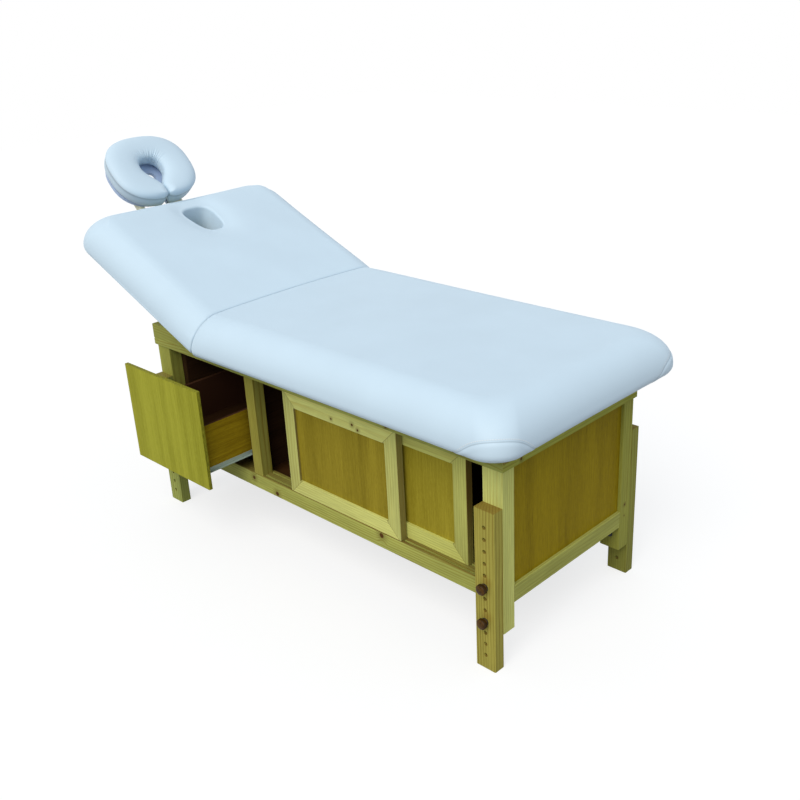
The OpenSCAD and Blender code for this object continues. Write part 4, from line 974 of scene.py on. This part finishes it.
class TABLE_OT_metalwork(bpy.types.Operator):
    """Finishes the ratchet arms, bolts, slides, runners, rollers, rods and the lever"""
    bl_idname = "table.metalwork"
    bl_label = "Metalwork"

    def execute(self, context):
        # Zinc plate gives a soft grey shine, powder coat a dull even one, black oxide a dark one
        zinc = plain_finish("Steel, zinc plated", "#a9abad", 0.34, 1.0, 0.05, Metallic=1.0)
        coat = plain_finish("Steel, grey-white powder coat", "#a3b3a9", 0.45, 0.9, 0.06, 0.03)
        oxide = plain_finish("Steel, black oxide", "#17171a", 0.42, 0.8, 0.05, Metallic=0.6)
        # Moulded nylon is even and slightly waxy
        black = plain_finish("Nylon, black", "#0d0e12", 0.4, 0.7, 0.05)
        pale = plain_finish("Nylon, white", "#c8ccc6", 0.4, 0.7, 0.05, 0.03)
        finishes = {
            zinc: ("ratchet_base_arms", "ratchet_head_arms", "cradle_rods"),
            coat: ("slide_channels", "drawer_runners"), oxide: ("leg_bolts",), black: ("cradle_cam_lever",),
            pale: ("front_rollers", "rear_rollers")}
        for material, nodes in finishes.items():
            for node in nodes:
                dress(node, material)
        return {"FINISHED"}


class TABLE_OT_studio(bpy.types.Operator):
    """Sets the floor, the lights, the background and the camera"""
    bl_idname = "table.studio"
    bl_label = "Studio"

    def execute(self, context):
        scene = context.scene
        studio = scene.table_studio
        scene.view_settings.view_transform = "Standard"
        scene.world = bpy.data.worlds.new("Studio")
        tree = empty_tree(scene.world)
        seen = self.seen(tree)
        strength = put(tree, RANGE, [seen, 0.0, 1.0, studio.sky, 1.0])
        # Light from all round is a little blue and the key light warm, so that tops look cooler than the
        # front
        blue, white = (0.925, 1.01, 1.13, 1), (1, 1, 1, 1)
        tint = put(tree, MIX, {0: seen, FIRST: blue, SECOND: white}, MIXED, data_type="RGBA")
        back = put(tree, "ShaderNodeBackground", {"Color": tint, "Strength": strength})
        put(tree, "ShaderNodeOutputWorld", {"Surface": back})
        lamp = bpy.data.lights.new("Key light", "SUN")
        lamp.energy = studio.key
        lamp.angle = math.radians(45)
        lamp.color = (1.0, 0.965, 0.9)
        holder = bpy.data.objects.new("Key light", lamp)
        scene.collection.objects.link(holder)
        holder.rotation_euler = Vector((0.25, -0.66, 0.71)).to_track_quat("Z", "Y").to_euler()
        self.floor(studio.glow)
        self.camera(scene, studio.lens)
        return {"FINISHED"}

    def seen(self, tree):
        """1 for what the camera sees, straight or mirrored, and 0 for light that falls on surfaces."""
        rays = put(tree, "ShaderNodeLightPath").node.outputs
        seen = put(tree, MATHS, [rays["Is Camera Ray"], rays["Is Glossy Ray"]], operation="MAXIMUM")
        return put(tree, MATHS, [seen, rays["Is Transmission Ray"]], operation="MAXIMUM")

    def floor(self, glow):
        """A plain pale floor that keeps the object's shadow and is white where it is lit."""
        half_size = 9.0
        points = half_size * np.array([[-1, -1, 0], [1, -1, 0], [1, 1, 0], [-1, 1, 0]])
        floor = mesh_piece("floor", points, [[0, 1, 2, 3]])
        material = bpy.data.materials.new("Studio floor, pale")
        tree = empty_tree(material)
        matte = put(tree, "ShaderNodeBsdfDiffuse", {"Color": colour("#9c9c9c")})
        light = put(tree, "ShaderNodeEmission", {"Color": colour("#ffffff"), "Strength": glow})
        lit = put(tree, "ShaderNodeAddShader", [matte, light])
        mixed = put(tree, "ShaderNodeMixShader", [self.seen(tree), matte, lit])
        put(tree, "ShaderNodeOutputMaterial", {"Surface": mixed})
        floor.data.materials.append(material)

    def camera(self, scene, lens):
        """The photo's camera, found from the corners of the cabinet, legs and doors."""
        view = bpy.data.cameras.new("Camera")
        view.sensor_width = 36
        view.lens = lens
        holder = bpy.data.objects.new("Camera", view)
        scene.collection.objects.link(holder)
        scene.camera = holder
        turn, rise, roll = (math.radians(v) for v in (45.54376, 23.25619, 3.04652))
        back = np.array([math.sin(turn) * math.cos(rise), -math.cos(turn) * math.cos(rise), math.sin(rise)])
        right = np.cross(-back, [0, 0, 1])
        right /= np.linalg.norm(right)
        down = np.cross(-back, right)
        c, s = math.cos(roll), math.sin(roll)
        place = np.array([2208.8, -1840.3, 1625.8]) * MM
        matrix = np.eye(4)
        matrix[:3] = np.stack([c * right + s * down, s * right - c * down, back, place], axis=1)
        holder.matrix_world = Matrix(matrix.tolist())


OPERATORS = (TABLE_OT_foot_pad, TABLE_OT_head_pad, TABLE_OT_face_pad, TABLE_OT_knobs, TABLE_OT_woodwork,
             TABLE_OT_metalwork, TABLE_OT_studio)


class TABLE_PT_panel(bpy.types.Panel):
    """Lists the table's builders and their settings"""
    bl_idname = "TABLE_PT_panel"
    bl_label = "Treatment table"
    bl_space_type = "VIEW_3D"
    bl_region_type = "UI"
    bl_category = "Table"

    def draw(self, context):
        for operator in OPERATORS:
            self.layout.operator(operator.bl_idname)
        for group in (context.scene.table_pads, context.scene.table_studio):
            for name in group.__annotations__:
                self.layout.prop(group, name)


CLASSES = (TablePads, TableStudio) + OPERATORS + (TABLE_PT_panel,)


def register():
    """Adds the classes and their settings to Blender."""
    for item in CLASSES:
        bpy.utils.register_class(item)
    bpy.types.Scene.table_pads = PointerProperty(type=TablePads)
    bpy.types.Scene.table_studio = PointerProperty(type=TableStudio)


def unregister():
    """Takes them out again."""
    del bpy.types.Scene.table_studio
    del bpy.types.Scene.table_pads
    for item in reversed(CLASSES):
        bpy.utils.unregister_class(item)


def main():
    """Builds everything."""
    register()
    for operator in OPERATORS:
        group, name = operator.bl_idname.split(".")
        getattr(getattr(bpy.ops, group), name)()


if __name__ == "__main__":
    main()
